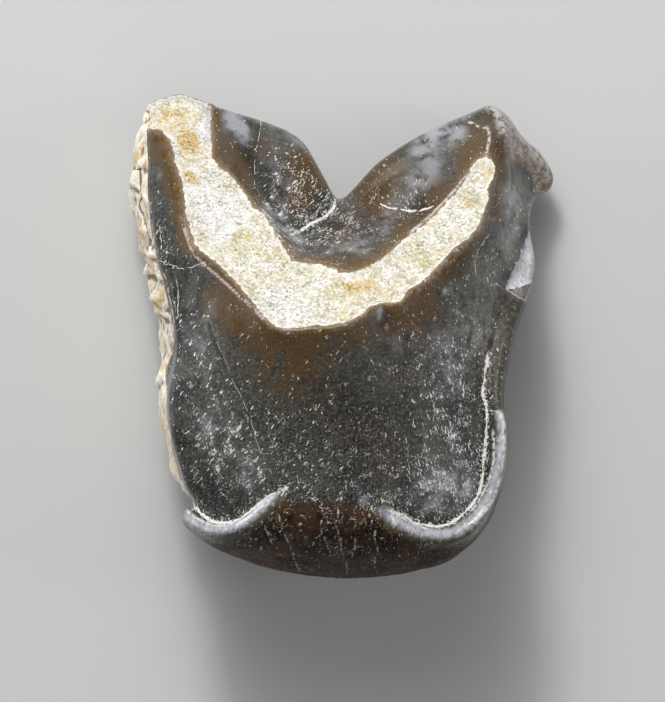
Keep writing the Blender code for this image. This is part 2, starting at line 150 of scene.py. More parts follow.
def drawn(points, closed=False):
    """A smooth line through points of the photograph, in steps of a few pixels."""
    knots = [np.array(point, float) for point in points]
    if closed:
        knots = [knots[-1], *knots, knots[0], knots[1]]
    else:
        knots = [2 * knots[0] - knots[1], *knots, 2 * knots[-1] - knots[-2]]
    line = []
    for before, start, end, after in zip(knots, knots[1:], knots[2:], knots[3:]):
        steps = max(1, round(np.hypot(*(end - start)) / LINE_STEP))
        for t in np.arange(steps) / steps:
            bend = (2 * before - 5 * start + 4 * end - after) * t**2
            turn = (3 * start - before - 3 * end + after) * t**3
            line.append((2 * start + (end - before) * t + bend + turn) / 2)
    line.append(knots[-2])
    return np.array(line)


def near_line(points, closed=False):
    """Each mesh point's distance from a line, how far it lies to its left, and how far along it, in mm."""
    line = drawn(points, closed)
    nearest = np.full(COUNT, np.inf)
    left = np.zeros(COUNT)
    run = np.zeros(COUNT)
    passed = 0
    for start, end in zip(line, line[1:]):
        along = end - start
        gap = seen - start
        share = np.clip(gap @ along / (along @ along), 0, 1)
        reach = np.hypot(*(gap - share[:, None] * along).T)
        closer = reach < nearest
        nearest[closer] = reach[closer]
        across = (along[1] * gap[:, 0] - along[0] * gap[:, 1]) / np.hypot(*along)
        left[closer] = across[closer]
        run[closer] = passed + share[closer] * np.hypot(*along)
        passed += np.hypot(*along)
    return nearest / PIXELS_PER_MM, left / PIXELS_PER_MM, run / PIXELS_PER_MM


def nearest_line(lines):
    """Each mesh point's distance from the nearest of several lines, how far left of it, and which it is."""
    distances, lefts, _ = np.array([near_line(line) for line in lines]).transpose(1, 0, 2)
    which = distances.argmin(axis=0)
    return distances[which, np.arange(COUNT)], lefts[which, np.arange(COUNT)], which


def depth_inside(points):
    """How deep each mesh point lies inside a closed outline, in mm; outside it is negative."""
    ring = drawn(points, closed=True)
    inside = np.zeros(COUNT, bool)
    for (x1, y1), (x2, y2) in zip(ring, ring[1:]):
        if y1 != y2:
            spans = (y1 > seen[:, 1]) != (y2 > seen[:, 1])
            inside ^= spans & (seen[:, 0] < x1 + (seen[:, 1] - y1) * (x2 - x1) / (y2 - y1))
    return np.where(inside, 1, -1) * near_line(points, closed=True)[0]


middle_line = [(PHOTO_WIDTH / 2, 0), (PHOTO_WIDTH / 2, PHOTO_HEIGHT)]
print("farthest from the photograph's middle line, in mm:", near_line(middle_line)[0].max().round(1))

# %% [markdown]
# ## Relief and marks
# Every feature leaves two things on the mesh. Its relief is added to one number for each point, which
# moves the point along its normal at the end. Its mark is a number that the mesh carries as an
# attribute, so that the paint knows where the feature lies and its edges follow the relief's. Noise
# roughens both. The lines belong to the upper side alone, so each point also says how far it faces up,
# and a line counts as far away where it doesn't.

# %% Soft edges, lumps and marks
FAR_AWAY = 3


def soft_step(start, end, values):
    """0 at start, 1 at end, with a soft beginning and end."""
    share = np.clip((values - start) / (end - start), 0, 1)
    return share * share * (3 - 2 * share)


def bell(values, width):
    """1 at 0, falling away on both sides over about the width."""
    return np.exp(-((values / width) ** 2))


def lumps(size, seed, stretch=(1, 1, 1)):
    """Smooth noise from -1 to 1, with lumps of about the size in mm, longer where the stretch is more."""
    shifted = places / (size * np.array(stretch)) + seed * np.array((17.3, 5.9, 11.7))
    return np.array([noise.noise(Vector(place)) for place in shifted])


def mark(name, values):
    """Stores one number for each point of the tooth."""
    tooth.data.attributes.new(name, "FLOAT", "POINT").data.foreach_set("value", values.astype(np.float32))


def mark_line(name, distance, left):
    """Stores what the paint needs to draw a line."""
    mark(name + "_distance", distance + from_above)
    mark(name + "_left", left)


def report(title):
    print(title + ": the relief now runs from", round(relief.min(), 2), "to", round(relief.max(), 2), "mm")


facing_up = soft_step(-0.15, 0.2, normals[:, 2])
from_above = FAR_AWAY * (1 - facing_up)
relief = np.zeros(COUNT)
mark("up", facing_up)
print("share of the points that face up:", facing_up.mean().round(2))

# %% [markdown]
# ## The worn V of dentine
# Chewing wore the enamel through and laid bare the softer dentine, in a V between two enamel edges.
# Dentine wears faster, so the band lies a little lower than its edges, and it is granular, like fine
# plaster. A Boolean cut would leave a hard step all round. Here the distance from the band's outline
# sinks the inside, raises the edge and switches the grain on.

# %% Relief of the dentine band
DENTINE = [
    (157, 130), (163, 131), (170, 137), (174, 145), (178, 163), (184, 180), (188, 200), (191, 222),
    (196, 240), (202, 250), (212, 257), (220, 264), (232, 276), (243, 288), (258, 306), (268, 319),
    (277, 326), (290, 329), (315, 326), (330, 326), (345, 323), (352, 321), (362, 316), (368, 311),
    (372, 307), (380, 304), (400, 302), (405, 297), (410, 290), (422, 283), (440, 265), (455, 248),
    (467, 240), (475, 232), (480, 225), (488, 205), (490, 200), (488, 190), (491, 183), (496, 172),
    (496, 163), (490, 159), (480, 160), (468, 178), (460, 190), (445, 207), (425, 226), (405, 241),
    (390, 255), (372, 267), (350, 273), (332, 269), (312, 264), (300, 264), (292, 258), (281, 240),
    (269, 220), (265, 213), (258, 211), (252, 203), (242, 188), (232, 176), (222, 168), (215, 160),
    (213, 135), (213, 112), (209, 102), (204, 88), (150, 84), (136, 100), (146, 126),
]
DENTINE_DEPTH = 0.28
EDGE_HEIGHT = 0.12

# The band ends where the surface turns down.
dentine = np.minimum(depth_inside(DENTINE), 6 * normals[:, 2])
dentine += 0.12 * lumps(0.9, 1) + 0.06 * lumps(0.45, 2)
worn = soft_step(-0.1, 0.45, dentine) * facing_up
relief -= DENTINE_DEPTH * worn
relief += EDGE_HEIGHT * bell(dentine + 0.35, 0.3) * facing_up
relief += worn * (0.05 * lumps(1.1, 3) + 0.055 * lumps(0.5, 4))
mark("dentine", dentine)
report("dentine")

# %% [markdown]
# ## The broken side
# The crescent snapped away from the rest of its tooth along the left, and the break shows the dentine
# from the side: chalky, with flakes that overlap like shingles. The small ones come from a ramp that
# climbs and drops again along the break. Some flakes end in edges that stand out, and a few splits run
# between them, so those are drawn one by one.

# %% Relief of the chalky break
BROKEN_SIDE = [
    (150, 128), (150, 150), (150, 190), (151, 205), (153, 222), (156, 235), (158, 250), (160, 262),
    (163, 272), (166, 285), (169, 297), (172, 310), (175, 325), (177, 340), (175, 352), (171, 362),
    (168, 375), (169, 390), (169, 410), (171, 425), (173, 440), (176, 455), (179, 468), (183, 480),
    (189, 492), (191, 499), (180, 503), (110, 505), (95, 300), (95, 70), (150, 60),
]
BREAK_FOOT = 2.6
SHINGLES_AT, SHINGLES_REACH = 275, 75
SHINGLE_LENGTH = 2.4
SHINGLE_HEIGHT = 0.24

broken = depth_inside(BROKEN_SIDE) + 0.1 * lumps(0.8, 5)
broken = np.minimum(broken, 2.2 * (places[:, 2] - BREAK_FOOT - 0.8 * lumps(2.4, 6)))
chalky = soft_step(-0.05, 0.3, broken)
climb = (0.8 * places[:, 1] - 0.5 * places[:, 2]) / SHINGLE_LENGTH + 0.9 * lumps(3.5, 7)
climb -= np.floor(climb)
shingled = 0.25 + 0.75 * bell(seen[:, 1] - SHINGLES_AT, SHINGLES_REACH)
relief += chalky * shingled * (SHINGLE_HEIGHT * np.minimum(climb / 0.8, (1 - climb) / 0.2) - 0.3)
relief += chalky * (0.12 * lumps(1.6, 8, (1, 2, 2)) + 0.09 * lumps(0.5, 9, (1, 3, 1)))
mark("broken", broken)
report("chalky break")

# %% Flakes and splits
FLAKE_EDGES = [
    [(136, 246), (143, 252), (152, 258), (162, 257)],
    [(147, 262), (151, 266), (155, 272), (159, 282)],
    [(146, 277), (152, 275), (160, 279), (168, 283)],
    [(148, 300), (156, 303), (164, 309), (171, 308)],
    [(154, 318), (160, 314), (166, 318), (173, 322)],
    [(132, 186), (140, 190), (146, 200), (150, 212)],
    [(160, 385), (164, 380), (168, 384), (171, 390)],
]
SPLITS = [
    [(141, 168), (143, 190), (140, 208), (146, 222), (150, 240), (154, 250)],
    [(137, 170), (147, 171), (151, 176)],
    [(151, 100), (148, 112), (152, 122)],
]
FLAKE_HEIGHT = 0.24
SPLIT_DEPTH = 0.16

for edge in FLAKE_EDGES:
    distance, left, _ = near_line(edge)
    relief += chalky * FLAKE_HEIGHT * np.tanh(left / 0.12) * np.exp(-distance / 0.9)
for split in SPLITS:
    relief -= chalky * SPLIT_DEPTH * bell(near_line(split)[0], 0.16)
mark("split", nearest_line(SPLITS)[0])
report("flakes and splits")

# %% [markdown]
# ## Gutters and lips at the foot of the face
# The crown ends in a lip like a rolled hem, which runs round both lower corners and up the right side.
# Inside it lies a narrow gutter with white matrix. Each is a line, so the gutter is cut along one and
# the lip's crest is raised along another. The lip is fluted across, like knurling worn smooth, and thin
# raised lines run along it, which are painted as highlights where they catch the light. The flutes are
# noise in the lip's own two directions, along it and across it.

# %% Relief of the gutters
# The left corner's gutter, and the one that runs round the right corner and up the side.
GUTTERS = [
    [
        (190, 500), (196, 506), (205, 515), (212, 520), (220, 522), (230, 522), (240, 519), (250, 513),
        (260, 505), (268, 498), (277, 493), (286, 489),
    ],
    [
        (392, 511), (400, 514), (408, 517), (415, 522), (424, 524), (435, 526), (445, 525), (455, 521),
        (465, 513), (474, 503), (480, 492), (483, 478), (484, 465), (486, 450), (487, 430), (487, 405),
        (484, 392), (486, 380), (487, 370), (489, 357),
    ],
]
GUTTER_DEPTH = 0.22

distance, left, _ = nearest_line(GUTTERS)
relief -= GUTTER_DEPTH * bell(distance, 0.35) * facing_up
mark_line("gutter", distance, left)
report("gutters")

# %% Relief of the lips
LIP_CRESTS = [
    (0.75, [
        (186, 514), (195, 523), (206, 529), (220, 531), (235, 528), (248, 521), (262, 509), (274, 498),
    ]),
    (0.75, [
        (386, 512), (395, 519), (407, 526), (420, 532), (440, 535), (458, 532), (474, 521), (486, 505),
    ]),
    (0.6, [(486, 505), (494, 487), (499, 465), (502, 445), (502, 425), (500, 412)]),
]
LIP_HIGHLIGHT_LINES = [
    [(472, 525), (482, 515), (493, 500), (499, 483), (503, 465), (504, 445), (503, 425), (500, 412)],
    [(474, 511), (485, 493), (493, 472), (495, 450), (494, 432)],
    [(190, 511), (199, 519), (212, 525), (228, 526), (244, 520)],
    [(240, 526), (254, 517), (266, 506), (275, 499)],
    [(392, 509), (402, 517), (414, 524), (428, 530)],
]
LIP_HEIGHT = 0.22
LIP_LINE_HEIGHT = 0.1
FLUTE_HEIGHT = 0.06
FLUTE_LENGTH = 0.33
FLUTE_SEED = 3.1

lip = np.zeros(COUNT)
lip_under = np.zeros(COUNT)
lip_run = np.zeros(COUNT)
for width, crest in LIP_CRESTS:
    distance, left, run = near_line(crest)
    closer = bell(distance, width) > lip
    lip[closer] = bell(distance, width)[closer]
    lip_run[closer] = run[closer]
    lip_under = np.maximum(lip_under, bell(distance, 1.3) * soft_step(0.1, -0.5, left))
lip_places = np.column_stack([lip_run / FLUTE_LENGTH, 1.5 * lip, np.full(COUNT, FLUTE_SEED)])
flutes = np.array([noise.noise(Vector(place)) for place in lip_places])
lip_highlight_reach = nearest_line(LIP_HIGHLIGHT_LINES)[0]
fluted_lip = LIP_HEIGHT * lip + FLUTE_HEIGHT * lip * flutes
relief += (fluted_lip + LIP_LINE_HEIGHT * bell(lip_highlight_reach, 0.12)) * facing_up
mark("lip", lip * facing_up)
mark("lip_under", lip_under * facing_up)
mark("lip_highlights", bell(lip_highlight_reach, 0.2) * facing_up)
mark("flutes", flutes)
report("lips")

# %% Grooves and creases beside the lips
CREASES = [
    (0.2, [(489, 357), (493, 345), (496, 330), (498, 310), (500, 292)]),
    (0.3, [(371, 502), (379, 505), (386, 512), (388, 520), (386, 530)]),
    (0.2, [(285, 492), (281, 500), (277, 512), (275, 528)]),
    (0.1, [(300, 498), (325, 499), (350, 500), (368, 502)]),
]

for depth, crease in CREASES:
    relief -= depth * bell(near_line(crease)[0], 0.35) * facing_up
report("grooves and creases")

# %% [markdown]
# ## The worn edges of the enamel
# On the cheek side the left arm's enamel wore in two steps, which leaves a thin pale ridge between two
# brown slopes. A rounded strip of enamel also runs between the broken side and the dentine. At the
# right arm's end the inner edge turns over in a small fold, and outside it a groove runs down the arm.
# Each is a line with a height, which is negative for a groove, and a width, so one table holds them
# all.

# %% Relief of the enamel edges
EDGE_LINES = {
    "left step": (0.13, 0.2, [
        (187, 222), (190, 235), (198, 255), (207, 265), (225, 281), (240, 295), (256, 309), (266, 320),
    ]),
    "left strip groove": (-0.15, 0.5, [(155, 205), (164, 235), (172, 262), (180, 290)]),
    "tip fold": (0.16, 0.25, [
        (470, 123), (477, 126), (483, 129), (488, 128), (490, 133), (490, 143), (488, 152), (487, 157),
    ]),
    "tip edge": (0.1, 0.2, [(478, 163), (462, 184), (447, 202), (430, 219), (412, 234)]),
    "arm groove": (-0.32, 0.45, [
        (488, 115), (495, 123), (498, 135), (499, 150), (500, 165), (500, 180), (498, 195), (494, 215),
    ]),
    "arm crest": (0.25, 0.5, [(480, 104), (487, 106), (493, 110), (498, 116), (502, 124), (504, 132)]),
    "arm back": (0.18, 0.6, [(505, 138), (508, 165), (507, 195), (503, 225), (500, 255)]),
    "right step": (0.1, 0.3, [(409, 296), (424, 288), (440, 274), (456, 258), (470, 245), (482, 231)]),
}
LEFT_STRIP = [(160, 138), (167, 158), (173, 182), (179, 208), (184, 232), (191, 252)]

reach = {}
for name, (height, width, points) in EDGE_LINES.items():
    reach[name] = near_line(points)[0]
    relief += height * bell(reach[name], width) * facing_up
relief += 0.3 * bell(near_line(LEFT_STRIP)[0], 1.0) * facing_up * (1 - worn)
mark("step", bell(reach["left step"], 0.22) * facing_up)
tip_fold = np.maximum(bell(reach["tip fold"], 0.22), bell(reach["tip edge"], 0.14))
mark("tip_fold", tip_fold * facing_up)
mark("arm_groove", bell(reach["arm groove"], 0.85) * facing_up)
# where a painted highlight runs along the right arm's crest
mark("arm_crest_highlight", bell(reach["arm crest"], 0.4) * facing_up)
report("enamel edges")

# %% [markdown]
# ## The valley, the flap and the chip
# Behind the V a valley of enamel opens towards the notch. It has a seam filled with white matrix, a
# deep pitted corner and a low hump. On the right side a flap of the neighbouring cusp is left, with
# fine folds in it, and below it a flat chip shows pale, matt enamel. Three smaller things are a dent
# like a drip below the V, the grey crest at the left arm's tip, and the olive rim below the chip.

# %% Relief of the valley
VALLEY_LINES = {
    "seam": (0.25, 0.3, [
        (338, 196), (336, 205), (331, 213), (322, 219), (312, 224), (303, 230), (296, 233),
    ]),
    "hump": (0.16, 0.25, [(384, 205), (392, 208), (400, 209), (410, 211), (420, 211), (431, 208)]),
}
VALLEY_CORNER = [(285, 228, 16, 1.0), (270, 205, 10, 0.5), (300, 215, 14, 0.5)]


def patches(spots):
    """A soft patch for each (x, y, radius, strength), in the photograph's pixels."""
    total = np.zeros(COUNT)
    for x, y, radius, strength in spots:
        total += strength * np.exp(-((seen[:, 0] - x) ** 2 + (seen[:, 1] - y) ** 2) / radius**2)
    return total


for name, (depth, width, points) in VALLEY_LINES.items():
    distance, left, _ = near_line(points)
    relief -= depth * bell(distance, width) * facing_up
    mark_line(name, distance, left)
relief += facing_up * patches(VALLEY_CORNER) * (0.16 * lumps(0.7, 10) - 0.1)
report("valley")

# %% Relief of the flap and the chip
FLAP = [
    (505, 120), (512, 118), (525, 124), (540, 140), (552, 158), (562, 180), (556, 196), (536, 196),
    (532, 180), (522, 168), (510, 160), (504, 148),
]
FLAP_RIM = [(504, 122), (516, 130), (530, 141), (541, 156), (549, 171), (553, 181)]
CHIP = [
    (534, 222), (540, 240), (542, 262), (540, 278), (528, 285), (515, 289), (507, 289), (511, 278),
    (519, 262), (525, 245), (530, 232),
]
CHIP_DEPTH = 0.22

flap = depth_inside(FLAP)
on_flap = soft_step(-0.1, 0.4, flap) * facing_up
relief += on_flap * (0.16 * lumps(1.2, 11, (1, 2.4, 1)) + 0.08)
mark("flap", np.minimum(flap, 3 * normals[:, 2] + 0.5))
mark("flap_rim", bell(near_line(FLAP_RIM)[0], 0.9) * facing_up)
chip = depth_inside(CHIP) + 0.08 * lumps(0.7, 12)
chipped = soft_step(-0.05, 0.25, chip) * soft_step(2, 5, places[:, 2])
relief -= CHIP_DEPTH * chipped
relief += 0.03 * chipped * lumps(0.6, 13, (1, 3, 1))
mark("chip", np.minimum(chip, (places[:, 2] - 3) / 2))
report("flap and chip")

# %% A dent, a crest and a rim
DRIP_DENT = (387, 322)
DENT_DEPTH = 0.45
TIP_CREST = [
    (147, 104), (153, 98), (160, 95), (172, 93), (190, 93), (203, 97), (210, 104), (214, 118),
    (213, 138),
]
OLIVE_RIM = [
    (501, 291), (528, 302), (524, 320), (516, 345), (511, 370), (509, 400), (508, 414), (490, 409),
    (487, 385), (489, 357), (494, 343), (497, 325), (499, 308),
]

dent_x, dent_y = DRIP_DENT
relief -= DENT_DEPTH * np.exp(-(((seen[:, 0] - dent_x) / 6) ** 2) - ((seen[:, 1] - dent_y) / 12) ** 2)
mark("tip_crest", bell(near_line(TIP_CREST)[0], 0.75) * facing_up)
mark("olive_rim", np.minimum(depth_inside(OLIVE_RIM), 3 * normals[:, 2] + 0.5))
report("dent")

# %% [markdown]
# ## Cracks and veins
# The enamel is crossed by hairline cracks, some filled with pale matrix, and matrix is also smeared
# thinly along the left edge. Each of these lines has its own width. Down the swollen base run pale,
# crumbly veins.

# %% Relief of the cracks and veins
CRACKS = [
    (0.05, [
        (160, 260), (164, 262), (167, 265), (170, 264), (174, 266), (177, 266), (180, 269), (195, 268),
    ]),
    (0.05, [(195, 268), (199, 265), (208, 263), (214, 258), (217, 256)]),
    (0.02, [(214, 325), (218, 340), (222, 350), (228, 363), (233, 376)]),
    (0.03, [(233, 376), (236, 384), (243, 397), (248, 408)]),
    (0.025, [(254, 424), (257, 436), (261, 448), (266, 459), (272, 471)]),
    (0.05, [(478, 272), (477, 262), (481, 250), (488, 238)]),
    (0.055, [(499, 286), (506, 290), (514, 294), (522, 299), (528, 301)]),
    (0.05, [(487, 410), (494, 412), (501, 414), (506, 418)]),
    (0.05, [(484, 460), (491, 459), (498, 460)]),
    (0.045, [(263, 118), (262, 132), (259, 146), (257, 160), (257, 185)]),
    (0.03, [(421, 528), (423, 540), (420, 553)]),
]
SMEARS = [
    (0.06, [(178, 284), (180, 300), (180, 316)]),
    (0.06, [(172, 300), (175, 316), (177, 338)]),
    (0.07, [(167, 278), (170, 290)]),
    (0.05, [(161, 230), (163, 246)]),
    (0.04, [(167, 226), (168, 240)]),
]
VEINS = [
    [(275, 510), (281, 518), (284, 530), (288, 540), (294, 552), (297, 563), (303, 574)],
    [(338, 503), (340, 515), (338, 527), (342, 540), (343, 552), (348, 563), (349, 575)],
    [(378, 527), (376, 538), (379, 550), (376, 562), (378, 573)],
    [(357, 520), (355, 533), (357, 545), (354, 557)],
    [(262, 520), (268, 530), (274, 545)],
    [(326, 515), (322, 528), (327, 542), (333, 556)],
    [(375, 505), (371, 515), (375, 524)],
]
CRACK_DEPTH = 0.07
VEIN_DEPTH = 0.1

widths, lines = zip(*CRACKS, *SMEARS)
distance, left, which = nearest_line(lines)
relief -= CRACK_DEPTH * bell(distance, 0.2) * facing_up
mark_line("crack", distance, left)
mark("crack_width", np.array(widths)[which])
vein = nearest_line(VEINS)[0] + 0.08 * lumps(0.5, 23)
relief -= VEIN_DEPTH * bell(vein, 0.2) * facing_up
mark("vein", vein + from_above)
report("cracks and veins")

# %% [markdown]
# ## Ripples and the torn root
# The swollen base is ribbed from top to bottom, and the whole face ripples a little, which is what
# breaks up its reflections. Underneath, the root was torn off and shows coarse dentine.

# %% Relief of the base and the ripples
BASE = [
    (182, 522), (200, 533), (216, 539), (236, 538), (254, 528), (268, 513), (280, 500), (298, 499),
    (325, 501), (356, 501), (376, 506), (387, 516), (398, 531), (415, 541), (440, 545), (464, 541),
    (484, 522), (500, 490), (530, 500), (520, 620), (170, 620), (150, 540),
]

base = depth_inside(BASE)
ribbed = soft_step(-0.3, 0.8, base) * (1 - soft_step(6, 3, places[:, 2]))
relief += ribbed * (0.09 * lumps(1.3, 14, (1, 6, 6)) + 0.05 * lumps(0.8, 15, (1, 3, 3)))
relief += 0.11 * lumps(5, 16) + 0.07 * lumps(2.4, 17, (1, 1.6, 1.6)) + 0.025 * lumps(1.1, 18)
mark("base", np.where(facing_up > 0, base, -1))
report("base and ripples")

# %% Relief of the torn root
ROOT_X, ROOT_Y = -0.5, -7.5
ROOT_WIDTH, ROOT_LENGTH = 15.0, 15.5
ROOT_TOP = 7.5

root_reach = np.hypot((places[:, 0] - ROOT_X) / ROOT_WIDTH, (places[:, 1] - ROOT_Y) / ROOT_LENGTH)
root = (1 - root_reach) * ROOT_WIDTH + 1.2 * lumps(4, 19) + 0.4 * lumps(1.5, 20)
root = np.minimum(root, 5 * (-0.15 - normals[:, 2]))
root = np.minimum(root, 2 * (ROOT_TOP - places[:, 2]))
torn = soft_step(-0.2, 0.6, root)
relief += torn * (0.22 * lumps(1.6, 21) + 0.1 * lumps(0.6, 22) - 0.15)
mark("root", root)
report("torn root")

# %% [markdown]
# ## Moving the skin
# All the relief is one number for each point, so the mesh is moved once, along its normals. The result
# is then fitted back into the solid's own box, a change of less than one part in a hundred, because the
# finish must not change the size of the fossil.

# %% Move the points and fit the box
moved = places + relief[:, None] * normals
cad_low, cad_high = (1000 * np.array(corner) for corner in cad_box)
span = moved.max(axis=0) - moved.min(axis=0)
moved = cad_low + (moved - moved.min(axis=0)) * (cad_high - cad_low) / span
tooth.data.vertices.foreach_set("co", (moved / 1000).ravel())
tooth.data.update()
bpy.ops.object.shade_smooth()
print("grown by, along each axis:", ((cad_high - cad_low) / span).round(4))

# %% [markdown]
# ## Edges and hollows
# Wear polishes what sticks out, and what lies deep is painted darker. Both show where the skin bends,
# and a point's bend is easy to measure: it is how far the point stands above the average of its
# neighbours. Averaging a few times finds fine edges, and averaging often finds broad ones.

# %% Measure the bends
FINE_ROUNDS, BROAD_ROUNDS = 3, 12

ends = np.empty(2 * len(tooth.data.edges), np.int32)
tooth.data.edges.foreach_get("vertices", ends)
ends = ends.reshape(-1, 2)
neighbours = np.bincount(ends.ravel(), minlength=COUNT)


def averaged(values, rounds):
    """Each point's value, averaged with its neighbours' values a number of times."""
    for _ in range(rounds):
        total = values + np.bincount(ends[:, 0], values[ends[:, 1]], COUNT)
        total += np.bincount(ends[:, 1], values[ends[:, 0]], COUNT)
        values = total / (1 + neighbours)
    return values


moved_normals = three_for_each_point(tooth.data.vertex_normals, "vector")


def standing_out(rounds):
    """How far each point stands above its surroundings, in mm; in a hollow it is negative."""
    middle = np.column_stack([averaged(moved[:, axis], rounds) for axis in range(3)])
    return ((moved - middle) * moved_normals).sum(axis=1)


for name, rounds, evened in (("fine_bend", FINE_ROUNDS, 1), ("broad_bend", BROAD_ROUNDS, 2)):
    bend = averaged(standing_out(rounds), evened)
    mark(name, bend)
    print(name, "in mm, from", np.percentile(bend, 1).round(3), "to", np.percentile(bend, 99).round(3))

# %% [markdown]
# ## Patches and clouds for the paint
# What is only colour has no line to follow: ochre stains in the dentine, brown tints and scuffs in the
# enamel, and painted sheen and painted shade. Each is a set of soft round patches, placed as (x, y,
# radius, strength) in the photograph's pixels, and the paint breaks them up with noise. Two more sets say
# where the enamel is sheltered and has kept little gloss, and where its white flecks lie dense. Clouds
# wider than a few triangles are worked out once here as well, where they cost nothing in a render.

# %% Patches on the bare dentine
DENTINE_PATCHES = {
    "whitened": [
        (190, 195, 16, 0.9), (205, 185, 18, 1.0), (218, 210, 24, 1.0), (240, 215, 16, 0.7),
        (225, 240, 14, 0.5), (205, 133, 7, 1.2), (172, 135, 6, 1.0), (178, 150, 6, 0.9),
        (300, 285, 26, 0.4), (290, 318, 18, 0.7), (325, 318, 18, 0.6), (435, 240, 20, 0.5),
        (460, 215, 14, 0.5), (400, 272, 16, 0.5), (270, 300, 14, 0.5),
    ],
    "greened": [
        (245, 235, 9, 1.2), (238, 244, 8, 0.8), (225, 251, 6, 0.6), (262, 262, 10, 0.4),
        (330, 292, 16, 0.5), (310, 270, 12, 0.4), (214, 184, 5, 1.0), (230, 187, 4, 1.0),
        (415, 250, 10, 0.6), (425, 262, 12, 0.5), (445, 228, 10, 0.5), (395, 290, 10, 0.4),
        (252, 285, 10, 0.3), (360, 300, 12, 0.3),
    ],
    "stain": [
        (191, 142, 9, 1.6), (196, 150, 6, 0.8), (170, 112, 14, 0.35), (190, 114, 14, 0.35),
        (180, 125, 14, 0.35), (166, 122, 10, 0.4), (193, 176, 7, 1.0), (186, 170, 5, 0.6),
        (362, 284, 8, 1.0), (350, 285, 7, 0.7), (370, 284, 6, 1.0), (338, 282, 6, 0.5),
        (470, 203, 7, 0.7), (490, 172, 7, 0.8), (462, 196, 8, 0.3), (440, 250, 7, 0.5),
        (385, 293, 10, 0.4), (243, 240, 15, 0.35), (226, 215, 8, 0.15), (138, 235, 5, 1.0),
        (141, 240, 6, 0.8), (160, 305, 6, 1.0), (158, 318, 6, 0.7), (163, 293, 5, 0.6),
        (146, 112, 6, 0.4), (475, 163, 8, 0.4), (200, 182, 6, 0.6), (350, 300, 14, 0.3),
        (165, 345, 8, 0.4), (170, 430, 8, 0.3), (152, 262, 6, 0.4), (400, 285, 10, 0.3),
    ],
}

for name, spots in DENTINE_PATCHES.items():
    mark(name, patches(spots) * (facing_up if name == "stain" else 1))
print("patches on the dentine:", sum(len(spots) for spots in DENTINE_PATCHES.values()))

